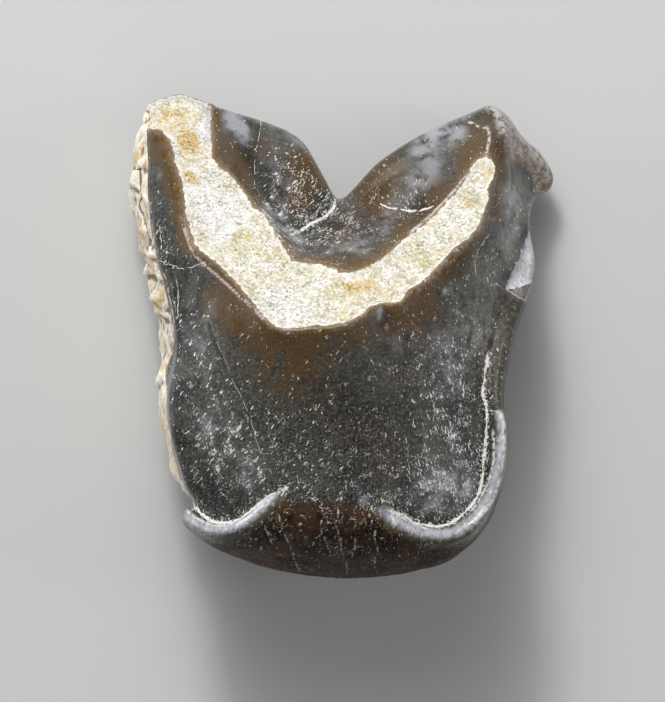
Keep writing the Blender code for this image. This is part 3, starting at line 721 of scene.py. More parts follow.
# %% Patches on the enamel
ENAMEL_PATCHES = {
    "brown": [
        (222, 300, 22, 0.8), (245, 318, 26, 0.9), (275, 342, 28, 0.7), (305, 348, 26, 0.5),
        (345, 340, 20, 0.5), (365, 335, 14, 0.6), (405, 322, 24, 0.9), (425, 305, 22, 0.8),
        (450, 275, 18, 0.7), (468, 258, 14, 0.7), (165, 150, 18, 1.0), (178, 185, 14, 1.0),
        (184, 215, 12, 1.0), (190, 245, 12, 0.9), (300, 375, 36, 0.4), (350, 420, 50, 0.2),
        (270, 390, 26, 0.25), (250, 480, 30, 0.12), (497, 160, 14, 0.9), (500, 215, 10, 0.6),
        (495, 345, 7, 1.0), (492, 375, 6, 0.8), (490, 440, 4, 0.8), (489, 465, 4, 0.8),
        (385, 175, 26, 1.1), (375, 205, 22, 0.9), (405, 245, 14, 0.8), (300, 170, 20, 0.9),
        (313, 155, 14, 0.9), (300, 200, 18, 0.8), (325, 180, 12, 0.8), (235, 160, 12, 1.0),
        (250, 120, 8, 0.5), (440, 195, 22, 0.9), (470, 150, 18, 1.0), (350, 262, 24, 0.9),
        (290, 245, 12, 0.9), (480, 135, 12, 0.8), (520, 330, 10, 0.5), (405, 225, 14, 0.6),
        (465, 110, 12, 0.5), (400, 460, 40, 0.25), (270, 150, 14, 0.6), (340, 225, 16, 0.6),
        (215, 452, 9, 0.5), (420, 380, 30, 0.3), (478, 145, 9, 1.0), (470, 158, 9, 1.0),
        (228, 140, 9, 1.0), (243, 178, 12, 1.0), (258, 205, 9, 0.8), (222, 125, 6, 0.8),
    ],
    # Bloom where the enamel is scuffed, with painted sheen and a few painted glints of the lights in it.
    "bloom_and_sheen": [
        (236, 122, 11, 1.0), (246, 138, 9, 0.8), (308, 141, 12, 0.9), (298, 132, 9, 0.6),
        (318, 150, 6, 0.5), (434, 135, 13, 1.0), (447, 122, 12, 0.8), (420, 150, 12, 0.8),
        (437, 165, 14, 0.6), (455, 140, 10, 0.6), (410, 190, 16, 0.6), (425, 180, 14, 0.5),
        (345, 250, 10, 0.6), (362, 246, 12, 0.7), (330, 250, 7, 0.6), (385, 236, 10, 0.4),
        (390, 215, 14, 0.5), (276, 158, 16, 0.5), (285, 185, 14, 0.5), (280, 215, 14, 0.6),
        (300, 250, 12, 0.4), (160, 175, 6, 0.6), (430, 495, 22, 0.4), (455, 480, 16, 0.4),
        (250, 470, 14, 0.5), (255, 490, 10, 0.4), (210, 425, 12, 0.5), (495, 320, 6, 0.3),
        (510, 200, 12, 0.5), (450, 380, 30, 0.3), (200, 330, 20, 0.2), (518, 230, 8, 0.5),
        (365, 503, 7, 0.9), (436, 260, 8, 0.6), (372, 350, 40, 0.15), (500, 110, 8, 0.9),
        (435, 280, 8, 0.4), (330, 505, 10, 0.3), (300, 500, 9, 0.3), (215, 400, 40, 0.15),
        (505, 235, 12, 0.5), (400, 345, 10, 0.3), (455, 290, 10, 0.5), (445, 470, 36, 0.3),
        (430, 505, 12, 0.5), (470, 490, 10, 0.6), (232, 118, 8, 0.8), (478, 222, 7, 0.9),
        (468, 237, 6, 0.8), (456, 249, 6, 0.7), (443, 261, 5, 0.6), (445, 292, 3, 1.3),
        (382, 311, 4, 1.4), (383, 318, 4, 1.4), (283, 228, 9, 1.1), (270, 212, 7, 0.9),
        (300, 238, 8, 0.7), (258, 115, 10, 0.5), (272, 125, 9, 0.4), (245, 128, 7, 0.8),
        (465, 113, 8, 0.7), (463, 132, 8, 0.6), (455, 350, 30, 0.3), (513, 205, 10, 0.4),
    ],
    # Painted shade: patches where the enamel is darkened as if turned away from the light.
    "painted_shade": [
        (180, 300, 16, 0.9), (178, 345, 16, 0.8), (192, 325, 20, 0.6), (160, 240, 9, 0.9),
        (168, 262, 10, 0.9), (205, 285, 12, 0.7), (190, 275, 10, 0.7), (178, 395, 14, 0.7),
        (182, 440, 12, 0.6), (250, 165, 12, 0.8), (262, 195, 12, 0.7), (245, 145, 9, 0.7),
        (340, 400, 40, 0.3), (300, 560, 40, 0.3), (390, 340, 14, 0.4), (350, 235, 20, 0.4),
        (320, 190, 12, 0.4), (495, 400, 6, 0.3), (497, 340, 6, 0.5), (505, 330, 8, 0.2),
    ],
    # Painted sheen: patches where the enamel is lightened as if the soft lights glanced off it.
    "painted_sheen": [
        (508, 190, 14, 0.9), (512, 215, 12, 0.9), (508, 250, 14, 0.8), (490, 290, 18, 0.6),
        (470, 320, 22, 0.5), (445, 340, 22, 0.4), (480, 265, 12, 0.5), (485, 350, 14, 0.5),
        (300, 130, 14, 0.5), (275, 135, 10, 0.4), (350, 205, 14, 0.3), (215, 430, 24, 0.4),
        (245, 465, 20, 0.4), (170, 150, 10, 0.5), (520, 293, 8, 1.6), (500, 210, 10, 0.6),
        (430, 300, 12, 0.4), (485, 330, 14, 0.5),
    ],
}

for name, spots in ENAMEL_PATCHES.items():
    mark(name, patches(spots) * facing_up)
print("patches on the enamel:", sum(len(spots) for spots in ENAMEL_PATCHES.values()))

# %% Where the gloss is low and where the flecks are dense
SHELTERED = [
    (245, 165, 22, 0.7), (290, 180, 26, 0.7), (300, 225, 24, 0.8), (340, 235, 30, 0.9),
    (385, 225, 30, 0.8), (380, 190, 26, 0.7), (430, 185, 24, 0.6), (470, 150, 16, 0.5),
    (230, 200, 14, 0.6), (280, 250, 16, 0.7), (165, 180, 20, 0.7), (172, 225, 18, 0.8),
    (175, 265, 22, 0.9), (195, 300, 28, 0.9), (225, 310, 28, 0.9), (185, 345, 24, 0.7),
    (250, 335, 24, 0.7), (215, 275, 18, 0.7), (195, 520, 14, 0.9), (225, 532, 16, 0.9),
    (255, 520, 16, 0.8), (215, 550, 24, 0.9), (340, 262, 20, 0.7), (400, 245, 16, 0.7),
]
FLECKED = [
    (455, 400, 45, 0.9), (460, 450, 45, 0.9), (440, 490, 40, 0.8), (400, 500, 30, 0.7),
    (470, 350, 30, 0.8), (500, 270, 24, 0.9), (515, 200, 18, 0.7), (340, 480, 60, 0.6),
    (250, 480, 50, 0.7), (215, 450, 40, 0.8), (195, 380, 30, 0.8), (180, 320, 25, 0.7),
    (170, 260, 18, 0.8), (240, 420, 50, 0.45), (330, 545, 60, 0.45), (280, 230, 22, 1.5),
    (270, 200, 20, 1.2), (290, 165, 22, 0.9), (330, 215, 30, 1.1), (320, 245, 26, 0.9),
    (370, 235, 26, 0.6), (395, 205, 26, 0.5), (420, 205, 20, 0.8), (305, 190, 24, 0.8),
    (160, 240, 14, 1.0), (360, 400, 70, 0.25), (430, 330, 30, 0.4), (380, 170, 20, 0.35),
    (230, 525, 40, 0.4), (475, 520, 40, 0.3),
]
UNDERSIDE_FLECKS = 0.35

mark("sheltered", np.minimum(patches(SHELTERED), 1))
mark("flecks", patches(FLECKED) * facing_up + UNDERSIDE_FLECKS * (1 - facing_up))
print("patches of gloss and flecks:", len(SHELTERED) + len(FLECKED))

# %% Clouds


def cloud(size, seed):
    """Soft clouds from about 0 to 1, with three sizes of detail."""
    total = lumps(size, seed) + lumps(size / 2, seed + 0.3) / 2
    return 0.5 + 0.7 * (total + lumps(size / 4, seed + 0.6) / 4)


mark("mottle", cloud(5, 31))
mark("tint", cloud(3, 32))
mark("haze", cloud(1.6, 33))
mark("gutter_width", 0.06 + 0.22 * cloud(1.4, 34))
print("attributes:", len(tooth.data.attributes))

# %% [markdown]
# ## A small kit for layered paint
# The finish is built like real paint: a ground, and thin layers over it, each with its own mask. A node
# tree of that size is hard to read by hand, so a few short functions make the nodes. Patterns read
# Object coordinates in millimetres, so they are the same size all over the tooth and stay with it when
# it moves.

# %% Nodes for arithmetic and masks
paint = bpy.data.materials.new("fossil_enamel_dentine_and_matrix")
paint.use_nodes = True
tree = paint.node_tree
shader = tree.nodes["Principled BSDF"]


def plug(value, socket):
    """Links a node's output to a socket, or sets a plain value on it."""
    if isinstance(value, bpy.types.NodeSocket):
        tree.links.new(value, socket)
    else:
        socket.default_value = value


def calc(operation, first, second=0.0, third=0.0):
    """One step of arithmetic."""
    node = tree.nodes.new("ShaderNodeMath")
    node.operation = operation
    for value, socket in zip((first, second, third), node.inputs):
        plug(value, socket)
    return node.outputs[0]


def times(first, *others):
    """The product of several masks."""
    for other in others:
        first = calc("MULTIPLY", first, other)
    return first


def slope(value, start, end):
    """0 at start, 1 at end, with a soft beginning and end."""
    node = tree.nodes.new("ShaderNodeMapRange")
    node.interpolation_type = "SMOOTHSTEP"
    plug(value, node.inputs["Value"])
    plug(start, node.inputs["From Min"])
    plug(end, node.inputs["From Max"])
    return node.outputs["Result"]


marks = {}


def marked(name):
    """A number that the mesh carries."""
    if name not in marks:
        marks[name] = tree.nodes.new("ShaderNodeAttribute")
        marks[name].attribute_name = name
    return marks[name].outputs["Fac"]


in_glossy_places = times(marked("up"), 0.75)
print("nodes so far:", len(tree.nodes))

# %% Nodes for patterns
position = tree.nodes.new("ShaderNodeTexCoord").outputs["Object"]


def clouds(size, seed, detail=1.0, stretch=(1, 1, 1), turn=0.0):
    """Soft noise from 0 to 1 with lumps of the size in mm, turned about Z by an angle."""
    turned = tree.nodes.new("ShaderNodeMapping")
    turned.inputs["Rotation"].default_value = (0, 0, turn)
    plug(position, turned.inputs["Vector"])
    scaled = tree.nodes.new("ShaderNodeMapping")
    scaled.inputs["Scale"].default_value = [1000 / (size * longer) for longer in stretch]
    scaled.inputs["Location"].default_value = (seed, 2.3 * seed, 1.7 * seed)
    tree.links.new(turned.outputs[0], scaled.inputs["Vector"])
    node = tree.nodes.new("ShaderNodeTexNoise")
    node.inputs["Scale"].default_value = 1
    node.inputs["Detail"].default_value = detail
    tree.links.new(scaled.outputs[0], node.inputs["Vector"])
    return node.outputs[0]


def folds(pattern):
    """How far a pattern is from its middle value: near 0 along winding lines."""
    return calc("ABSOLUTE", calc("SUBTRACT", pattern, 0.5))


# Grain that several finishes share, about 0.3 mm, 0.6 mm and 1 mm wide.
fine_grain = clouds(0.3, 41, detail=2)
grain = clouds(0.6, 42, detail=2)
coarse_grain = clouds(1.0, 43, detail=2)
print("nodes so far:", len(tree.nodes))

# %% Layers
finish = {"colour": (0.016, 0.017, 0.015, 1), "roughness": 0.34, "coat": in_glossy_places}


def blended(share, first, second):
    """The first colour or value, with a share of the second over it."""
    node = tree.nodes.new("ShaderNodeMix")
    is_colour = isinstance(second, tuple)
    node.data_type = "RGBA" if is_colour else "FLOAT"
    plug(share, node.inputs[0])
    plug(first, node.inputs[6 if is_colour else 2])
    plug((*second, 1) if is_colour else second, node.inputs[7 if is_colour else 3])
    return node.outputs[2 if is_colour else 0]


def layer(mask, **values):
    """Lays a colour, a roughness or a coat over the finish where the mask is 1."""
    for channel, value in values.items():
        finish[channel] = blended(mask, finish[channel], value)


def painted(title):
    print("painted the " + title + ";", len(tree.nodes), "nodes so far")


# %% [markdown]
# ## Dark enamel
# Fossil enamel is stained by minerals in the ground: here a greenish black, with warm brown where it is
# thin and a blue-grey bloom where it is scuffed, over which a painted sheen of the lights is laid. One
# flat black would look like plastic. The ground is mottled, and the brown and the bloom come from the
# patches that the mesh carries, broken up by noise. Patches of painted shade darken the ground, and
# patches of painted sheen lighten it.
# Beside the dentine the enamel is so thin that light shines through it, which is painted as a golden
# edge.

# %% Paint the enamel's ground


def layers_on(ground, *rows):
    """Lays colours over a ground. Each row has a pattern, a strength and a colour."""
    for pattern, strength, colour in rows:
        layer(times(ground, pattern, strength), colour=colour)


growth_lines = clouds(0.25, 44, stretch=(1, 7, 7), turn=0.1)
everywhere = 1.0
layers_on(
    everywhere,
    (slope(marked("mottle"), 0.2, 0.8), 1, (0.042, 0.044, 0.037)),
    (slope(marked("tint"), 0.45, 0.9), 0.5, (0.06, 0.05, 0.032)),
    (slope(grain, 0.46, 0.6), 0.35, (0.075, 0.076, 0.07)),
    (slope(fine_grain, 0.5, 0.64), 0.5, (0.13, 0.13, 0.12)),
    (slope(fine_grain, 0.44, 0.36), 0.5, (0.012, 0.012, 0.01)),
    (slope(growth_lines, 0.54, 0.68), 0.25, (0.12, 0.12, 0.11)),
    # painted shade: the shade patches darken the ground to near black
    (marked("painted_shade"), 0.75, (0.008, 0.008, 0.009)),
)
layer(marked("sheltered"), coat=0.22)
# Painted sheen, broken up by grain and haze, laid over the ground.
sheen_breakup = slope(calc("ADD", grain, marked("haze")), 0.3, 1.2)
layer(times(marked("painted_sheen"), sheen_breakup), colour=(0.22, 0.21, 0.19))
painted("enamel's ground")

# %% Paint the thin brown enamel, and the bloom with its painted sheen
outside = times(marked("dentine"), -1.0)
thin = slope(outside, 2.2, 0.2)
brown = calc("ADD", marked("brown"), times(thin, 0.6))
brown = times(brown, slope(calc("ADD", marked("haze"), coarse_grain), 0.1, 1.1))
layer(slope(brown, 0.0, 1.0), colour=(0.084, 0.048, 0.017), roughness=0.28)
edge_glow = slope(calc("ADD", outside, times(coarse_grain, 1.6)), 2.1, 0.7)
layer(times(edge_glow, 0.85), colour=(0.135, 0.074, 0.021), roughness=0.25)
layers_on(
    edge_glow,
    (slope(grain, 0.52, 0.38), 0.7, (0.04, 0.022, 0.009)),
    (slope(fine_grain, 0.5, 0.62), 0.6, (0.3, 0.19, 0.06)),
)
pale_edge = slope(calc("ADD", outside, grain), 0.9, 0.5)
layer(times(pale_edge, 0.6), colour=(0.32, 0.25, 0.15), roughness=0.3)
smears = clouds(0.5, 56, detail=3, stretch=(1, 3, 3), turn=-0.7)
bloom_and_painted_sheen = times(marked("bloom_and_sheen"), slope(calc("ADD", marked("haze"), smears), 0.25, 1.35))
# The blue-grey layer is scuffed bloom and painted sheen together.
layer(slope(bloom_and_painted_sheen, 0.0, 1.2), colour=(0.34, 0.34, 0.37), roughness=0.4)
painted("thin enamel and bloom")

# %% [markdown]
# ## Wear and darker hollows
# Edges that stand out are rubbed pale, and the hollows are painted darker. The bends that were measured
# above say where, so no edge has to be drawn by hand.

# %% Paint the worn edges
rubbed = times(slope(marked("broad_bend"), 0.05, 0.22), slope(grain, 0.3, 0.6), marked("up"))
layer(times(rubbed, 0.35), colour=(0.26, 0.23, 0.19), roughness=0.3)
# The hollows are painted darker.
layer(times(slope(marked("broad_bend"), -0.04, -0.2), 0.5), colour=(0.02, 0.016, 0.012))
painted("worn edges")

# %% [markdown]
# ## The brown base
# Below the lips the crown swells out and turns under. It is browner than the face, with fine pale
# streaks that run from top to bottom, as the enamel's growth lines do.

# %% Paint the base
on_base = slope(marked("base"), -0.4, 0.9)
streaks = slope(clouds(0.5, 45, stretch=(1, 5, 5)), 0.52, 0.7)
layer(on_base, colour=(0.014, 0.008, 0.004), roughness=0.5, coat=0.05)
layers_on(
    on_base,
    (slope(marked("tint"), 0.3, 0.8), 0.85, (0.078, 0.042, 0.022)),
    (slope(fine_grain, 0.5, 0.62), 0.5, (0.09, 0.05, 0.03)),
)
layer(times(on_base, streaks, slope(grain, 0.4, 0.6), 0.5), colour=(0.15, 0.11, 0.085), roughness=0.5)
painted("base")

# %% [markdown]
# ## Lips, grooves and ridges
# The lips are rubbed until they look frosted, with a painted sheen of the light over the frost, and an
# olive brown still shows below them. The thin lines along the lips are painted highlights where their
# crests catch the light, and so is the crest at the right arm's end; the ridges beside the dentine are
# nearly white. All are crumbly, so a grain breaks them. The groove in the right arm keeps its dark brown,
# and the rim below the chip is olive.

# %% Paint the lips
fibres = clouds(0.3, 46, detail=2, stretch=(1, 2.5, 2.5), turn=0.3)
lip_frost_and_sheen = calc("ADD", marked("lip"), times(calc("SUBTRACT", fibres, 0.5), 0.9))
lip_frost_and_sheen = calc("MULTIPLY_ADD", marked("flutes"), 0.35, lip_frost_and_sheen)
layer(slope(marked("lip_under"), 0.1, 0.8), colour=(0.085, 0.07, 0.038), roughness=0.3)
layer(slope(marked("lip"), 0.1, 0.6), colour=(0.09, 0.084, 0.066), roughness=0.35)
# Rubbed, frosted lips with a painted sheen of the light along their crests.
layer(times(slope(lip_frost_and_sheen, 0.25, 1.1), 0.92), colour=(0.46, 0.46, 0.5), roughness=0.35)
painted("lips")

# %% Paint the thin lines, the groove and the rim
crumbly = slope(grain, 0.36, 0.52)
# Painted highlights along the lips' crests, broken by the crumbly grain.
lip_highlights = times(slope(marked("lip_highlights"), 0.2, 0.9), crumbly, 0.9)
layer(lip_highlights, colour=(0.78, 0.78, 0.79), roughness=0.4)
step_ridge = times(slope(marked("step"), 0.3, 0.95), slope(grain, 0.34, 0.52), 0.85)
layer(step_ridge, colour=(0.56, 0.47, 0.45), roughness=0.35)
layer(times(marked("arm_groove"), 0.85), colour=(0.06, 0.036, 0.013), roughness=0.25)
tip_ridge = times(slope(marked("tip_fold"), 0.3, 0.95), crumbly, 0.85)
layer(tip_ridge, colour=(0.66, 0.59, 0.56), roughness=0.35)
# Painted highlight along the right arm's crest.
arm_highlight = times(marked("arm_crest_highlight"), slope(grain, 0.3, 0.55), 0.8)
layer(arm_highlight, colour=(0.6, 0.55, 0.52), roughness=0.35)
on_rim = slope(marked("olive_rim"), -0.05, 0.5)
layer(times(on_rim, 0.9), colour=(0.056, 0.051, 0.034), roughness=0.45, coat=0.15)
layer(times(on_rim, slope(grain, 0.45, 0.65), 0.4), colour=(0.16, 0.15, 0.12))
painted("lines, groove and rim")

# %% [markdown]
# ## The flap and the chip
# The flap is brown enamel scuffed almost white along its folds, and the chip is a fresh-looking flat,
# pale lilac and quite matt. Both have an outline, so each gets a base colour and a finer pattern inside
# it.

# %% Paint the flap
flap_ground = slope(marked("flap"), -0.15, 0.4)
swirls = slope(folds(clouds(1.1, 54, stretch=(2, 1, 1), turn=0.6)), 0.03, 0.008)
layer(flap_ground, colour=(0.13, 0.095, 0.065), roughness=0.4)
layers_on(
    flap_ground,
    (slope(coarse_grain, 0.45, 0.65), 0.6, (0.22, 0.19, 0.15)),
    (times(swirls, slope(grain, 0.4, 0.6)), 0.7, (0.5, 0.44, 0.36)),
    (slope(fine_grain, 0.5, 0.62), 0.5, (0.36, 0.31, 0.24)),
)
flap_edge = times(marked("flap_rim"), slope(grain, 0.25, 0.5), slope(coarse_grain, 0.35, 0.6), 0.75)
layer(flap_edge, colour=(0.42, 0.41, 0.4), roughness=0.4)
painted("flap")

# %% Paint the chip
ragged_chip = calc("MULTIPLY_ADD", calc("SUBTRACT", grain, 0.5), 0.7, marked("chip"))
in_chip = slope(ragged_chip, -0.06, 0.04)
layer(in_chip, colour=(0.64, 0.63, 0.67), roughness=0.6, coat=0.0)
layers_on(
    in_chip,
    (slope(marked("haze"), 0.4, 0.9), 0.5, (0.4, 0.37, 0.35)),
    (slope(grain, 0.5, 0.4), 0.5, (0.33, 0.31, 0.32)),
    (slope(fine_grain, 0.47, 0.62), 0.7, (0.72, 0.71, 0.74)),
)
painted("chip")

# %% [markdown]
# ## Flecks
# The enamel is peppered with white flecks, where matrix sits in tiny pits. Most are short dashes that
# lean with the growth of the tooth: up and to the right on the left half, and the other way on the
# right half. Noise that is stretched along the lean and cut off high leaves just such dashes, and the
# mesh says how dense they are. Round specks, small clusters and fine scratches are made the same way
# from other noise. The white flecks and the fine curved scratches also stand in for the enamel's tiny
# glints, so they are partly painted highlights.

# %% Paint the flecks
SOFT_EDGE = 0.025

sides = tree.nodes.new("ShaderNodeSeparateXYZ")
tree.links.new(position, sides.inputs[0])
right_half = slope(sides.outputs["X"], -0.004, 0.008)
density = times(marked("flecks"), slope(marked("haze"), 0.0, 0.8))


def flecks(pattern, least, most):
    """1 in the peaks of a pattern, which are counted from a lower level where the flecks are dense."""
    level = calc("MULTIPLY_ADD", density, most - least, least)
    return slope(pattern, level, calc("ADD", level, SOFT_EDGE))


left_dashes = flecks(clouds(0.22, 47, stretch=(1, 3.2, 3.2), turn=0.65), 0.73, 0.63)
right_dashes = flecks(clouds(0.19, 48, stretch=(1, 3.2, 3.2), turn=-0.25), 0.73, 0.63)
dashes = blended(right_half, left_dashes, right_dashes)
specks = flecks(clouds(0.17, 49), 0.76, 0.65)
clusters = flecks(clouds(0.42, 50, detail=3), 0.76, 0.67)
scratches_and_glints = times(slope(folds(clouds(0.8, 55)), 0.02, 0.008), flecks(coarse_grain, 0.66, 0.5))
# The white flecks and scratches are matrix, and partly painted glints.
for fleck, strength in ((dashes, 0.85), (specks, 0.65), (scratches_and_glints, 0.6), (clusters, 0.65)):
    layer(times(fleck, strength), colour=(0.75, 0.75, 0.72), roughness=0.6, coat=0.3)
painted("flecks")

# %% [markdown]
# ## Cracks and matrix
# Matrix is the fine white sediment that hardened in every gutter and crack. For each line the mesh
# carries two numbers: the distance to it, which ends the line at its ends, and the distance to its
# left, which changes sign on the line and so can draw it thinner than a triangle. Crumbs of matrix are
# also scattered beside the lines.

# %% Paint the cracks and the veins
shake = times(calc("SUBTRACT", grain, 0.5), 0.3)


def filled_line(name, width):
    """1 along a marked line of a half-width in mm, with a wavering edge."""
    offset = calc("ABSOLUTE", calc("ADD", marked(name + "_left"), shake))
    ends_in = slope(marked(name + "_distance"), 0.6, 0.3)
    return times(slope(offset, width, times(width, 0.4)), ends_in)


in_cracks = times(filled_line("crack", marked("crack_width")), slope(coarse_grain, 0.38, 0.5))
layer(in_cracks, colour=(0.66, 0.62, 0.54), roughness=0.8, coat=0.0)
crumbling = slope(calc("ADD", grain, fine_grain), 0.86, 1.0)
layer(times(slope(marked("vein"), 0.17, 0.05), crumbling, 0.9), colour=(0.6, 0.54, 0.44), roughness=0.8)
painted("cracks and veins")

# %% Paint the matrix in the valley and the gutters


def near_by(name, reach):
    """1 close to a marked line, falling to 0 at a reach in mm."""
    return slope(marked(name + "_distance"), reach, 0.0)


in_seam = times(filled_line("seam", 0.18), slope(coarse_grain, 0.32, 0.46))
layer(in_seam, colour=(0.8, 0.78, 0.76), roughness=0.85, coat=0.0)
below_hump = times(filled_line("hump", 0.12), slope(coarse_grain, 0.36, 0.48))
layer(below_hump, colour=(0.75, 0.73, 0.7), roughness=0.8, coat=0.0)
beside_lines = calc("MAXIMUM", near_by("gutter", 1.1), near_by("seam", 1.3))
scattered = times(slope(calc("ADD", fine_grain, times(beside_lines, 0.12)), 0.68, 0.72), beside_lines)
layer(scattered, colour=(0.72, 0.7, 0.66), roughness=0.85, coat=0.0)
in_gutters = times(filled_line("gutter", marked("gutter_width")), slope(fine_grain, 0.3, 0.42))
layer(in_gutters, colour=(0.76, 0.74, 0.7), roughness=0.85, coat=0.0)
painted("matrix")

# %% [markdown]
# ## Cream dentine
# Worn dentine is cream and granular, and it takes up stains: ochre from iron, and a greenish grey that
# sits in the pores. The grain is a mixture of small patches, from nearly white to dark grey, with a net
# of fine lines. The rows go from broad tints to fine pores, because each covers a part of those before
# it.

# %% Paint the dentine
ragged = calc("MULTIPLY_ADD", calc("SUBTRACT", grain, 0.5), 0.5, marked("dentine"))
on_dentine = slope(ragged, -0.05, 0.04)
pores = clouds(0.32, 51, detail=2)
net = slope(folds(clouds(0.7, 57, detail=3)), 0.04, 0.01)
blotches = clouds(1.5, 58, detail=3)
whitened = times(marked("whitened"), calc("ADD", marked("haze"), 0.5))
greened = times(marked("greened"), calc("ADD", grain, marked("haze")))
porous = slope(calc("ADD", marked("haze"), coarse_grain), 0.6, 1.2)
pale_rim = times(slope(marked("dentine"), 0.45, 0.1), slope(coarse_grain, 0.42, 0.55))
layer(on_dentine, colour=(0.68, 0.62, 0.46), roughness=0.75, coat=0.0)
layers_on(
    on_dentine,
    (slope(marked("tint"), 0.5, 0.8), 0.5, (0.66, 0.56, 0.33)),
    (slope(whitened, 0.1, 0.8), 0.9, (0.76, 0.74, 0.74)),
    (slope(greened, 0.15, 0.8), 0.85, (0.52, 0.49, 0.2)),
    (slope(blotches, 0.45, 0.36), 0.6, (0.43, 0.4, 0.28)),
    (slope(blotches, 0.53, 0.62), 0.75, (0.88, 0.86, 0.84)),
    (slope(grain, 0.5, 0.62), 0.7, (0.86, 0.84, 0.8)),
    (net, 0.6, (0.38, 0.36, 0.27)),
    (slope(fine_grain, 0.47, 0.36), calc("MULTIPLY_ADD", porous, 0.6, 0.25), (0.34, 0.32, 0.22)),
    (slope(pores, 0.41, 0.3), calc("MULTIPLY_ADD", porous, 0.6, 0.2), (0.19, 0.18, 0.13)),
    (slope(pores, 0.57, 0.66), 0.8, (0.9, 0.89, 0.87)),
    (pale_rim, 0.7, (0.86, 0.82, 0.78)),
)
painted("dentine")

# %% [markdown]
# ## The chalky break
# The broken side is a duller cream than the worn band, with tan and orange patches and dark splits
# between its flakes. Its fine hollows are painted dark as shade under the flakes, and its edges pale,
# which draws every flake.

# %% Paint the broken side
on_break = slope(marked("broken"), -0.03, 0.05)
layer(on_break, colour=(0.84, 0.76, 0.62), roughness=0.85, coat=0.0)
layers_on(
    on_break,
    (slope(marked("tint"), 0.4, 0.8), 1, (0.92, 0.89, 0.8)),
    (slope(marked("haze"), 0.5, 0.9), 0.75, (0.78, 0.57, 0.32)),
    (slope(clouds(0.4, 52, detail=3, stretch=(1, 3, 2)), 0.46, 0.34), 0.6, (0.42, 0.33, 0.22)),
    # Painted shade in the fine hollows under the flakes.
    (slope(marked("fine_bend"), -0.008, -0.04), 0.85, (0.24, 0.17, 0.1)),
    (slope(marked("fine_bend"), 0.012, 0.05), 0.8, (0.9, 0.87, 0.8)),
    (slope(marked("split"), 0.09, 0.03), 1, (0.16, 0.13, 0.09)),
)
painted("break")

# %% [markdown]
# ## Grey crest and ochre stains
# At its top end the bare dentine goes grey along a crest, and iron has stained it ochre in spots, on
# the worn band and on the break alike. So these layers lie over both.

# %% Paint the crest and the stains
bare = calc("MAXIMUM", on_dentine, on_break)
stained = times(marked("stain"), calc("ADD", marked("haze"), grain))
layers_on(
    bare,
    (times(marked("tip_crest"), slope(grain, 0.36, 0.5)), 0.8, (0.42, 0.42, 0.48)),
    (times(marked("tip_crest"), slope(pores, 0.45, 0.35)), 0.7, (0.2, 0.2, 0.24)),
    (times(slope(stained, 0.1, 1.0), slope(fine_grain, 0.38, 0.5)), 0.85, (0.6, 0.41, 0.12)),
    (times(slope(stained, 0.3, 1.1), slope(pores, 0.5, 0.38)), 0.8, (0.26, 0.15, 0.04)),
)
painted("crest and stains")

# %% [markdown]
# ## The torn root
# The root is hidden under the tooth, so how it looks is a guess: coarse dentine in dull tan, darker in
# its hollows.

# %% Paint the root
on_root = slope(marked("root"), -0.1, 0.15)
layer(on_root, colour=(0.5, 0.41, 0.29), roughness=0.85, coat=0.0)
layers_on(
    on_root,
    (slope(marked("tint"), 0.4, 0.8), 1, (0.66, 0.58, 0.44)),
    (slope(grain, 0.46, 0.34), 0.7, (0.25, 0.19, 0.12)),
    (slope(marked("fine_bend"), -0.01, -0.06), 0.8, (0.14, 0.1, 0.06)),
)
painted("root")

# %% [markdown]
# ## Fine texture for the light to catch
# Enamel has pits and growth lines far finer than the mesh, and dentine has open grain. They only need
# to bend the light, so they are a bump. It is also what breaks the lights' reflections into glints.

# %% Plug the finish into the shader
BUMP_DEPTH = 0.001
COAT_ROUGHNESS = 0.11
SPECULAR_LEVEL = 0.08

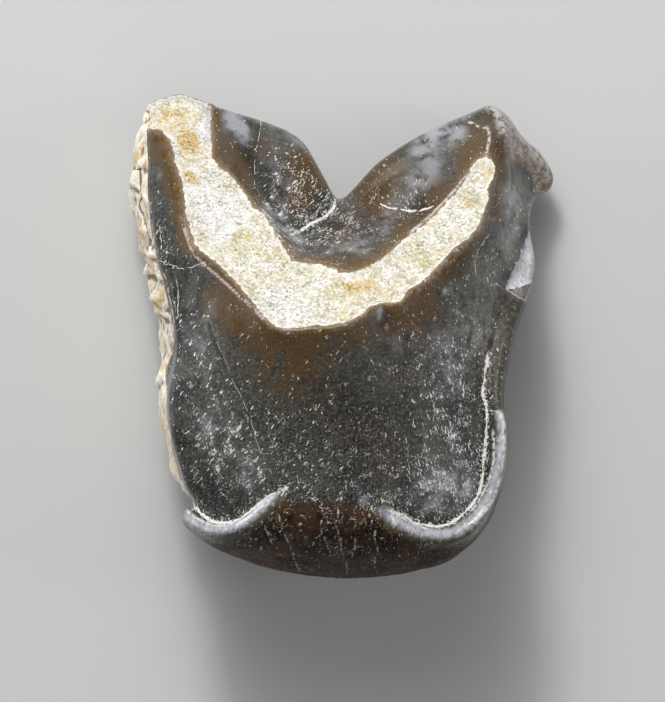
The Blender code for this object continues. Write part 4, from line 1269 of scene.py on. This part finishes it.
pits = times(clouds(0.45, 53, detail=3), calc("MULTIPLY_ADD", marked("flecks"), 0.1, 0.12))
rough_grain = times(calc("MAXIMUM", bare, on_root), fine_grain, 0.14)
bump = tree.nodes.new("ShaderNodeBump")
bump.inputs["Distance"].default_value = BUMP_DEPTH
tree.links.new(calc("ADD", pits, rough_grain), bump.inputs["Height"])
tree.links.new(bump.outputs[0], shader.inputs["Normal"])
roughness = calc("ADD", finish["roughness"], times(calc("SUBTRACT", coarse_grain, 0.5), 0.2))
tree.links.new(finish["colour"], shader.inputs["Base Color"])
tree.links.new(roughness, shader.inputs["Roughness"])
tree.links.new(finish["coat"], shader.inputs["Coat Weight"])
shader.inputs["Coat Roughness"].default_value = COAT_ROUGHNESS
shader.inputs["Specular IOR Level"].default_value = SPECULAR_LEVEL
tooth.data.materials.clear()
tooth.data.materials.append(paint)
print("nodes in the paint:", len(tree.nodes))

# %% Hand the tooth over to the frame
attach(tooth, "root")
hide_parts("tooth")
print("the finished tooth stands for the node tooth and rides on the body root")

# %% [markdown]
# ## A plain studio
# The tooth lies on a pale, matt surface under large soft lights. The main one stands beyond the tooth
# and a little to the left, so the shadow falls towards the viewer and to the right. A weak one, low on
# the left, catches the flakes of the break, and a weak one on the right keeps the shadow open. One big
# square light would leave its hard-edged mirror image in the enamel, so each light is three squares,
# one within the other.

# %% Floor
bpy.ops.mesh.primitive_plane_add(size=3.0, location=(0, 0, 0))
floor = bpy.context.object
floor.name = "studio_floor"
floor_paint = bpy.data.materials.new("pale_floor")
floor_paint.use_nodes = True
floor_finish = floor_paint.node_tree.nodes["Principled BSDF"]
floor_finish.inputs["Base Color"].default_value = (0.62, 0.62, 0.61, 1)
floor_finish.inputs["Roughness"].default_value = 0.9
floor.data.materials.append(floor_paint)
print("the floor measures, in m:", floor.dimensions[:2])

# %% Lights and world
TOOTH_MIDDLE = Vector((0, 0, 0.015))
LIGHTS = {
    "main_light": ((-0.1, 0.48, 0.47), 0.55, 4.8),
    "left_light": ((-0.55, 0.1, 0.08), 0.3, 1.0),
    "right_light": ((0.5, 0.0, 0.3), 0.5, 0.5),
}
SQUARES = (1, 0.5, 0.2)

for name, (place, size, power) in LIGHTS.items():
    for share in SQUARES:
        bpy.ops.object.light_add(type="AREA", location=place)
        lamp = bpy.context.object
        lamp.name = name + "_" + str(round(100 * share))
        lamp.data.size = size * share
        lamp.data.energy = power / len(SQUARES)
        lamp.rotation_euler = (TOOTH_MIDDLE - Vector(place)).to_track_quat("-Z", "Y").to_euler()
world = bpy.data.worlds.new("soft_room")
world.use_nodes = True
world.node_tree.nodes["Background"].inputs["Color"].default_value = (0.95, 0.97, 1.0, 1)
world.node_tree.nodes["Background"].inputs["Strength"].default_value = 0.2
bpy.context.scene.world = world
bpy.context.scene.view_settings.view_transform = "Standard"
print("lights:", len(LIGHTS) * len(SQUARES))
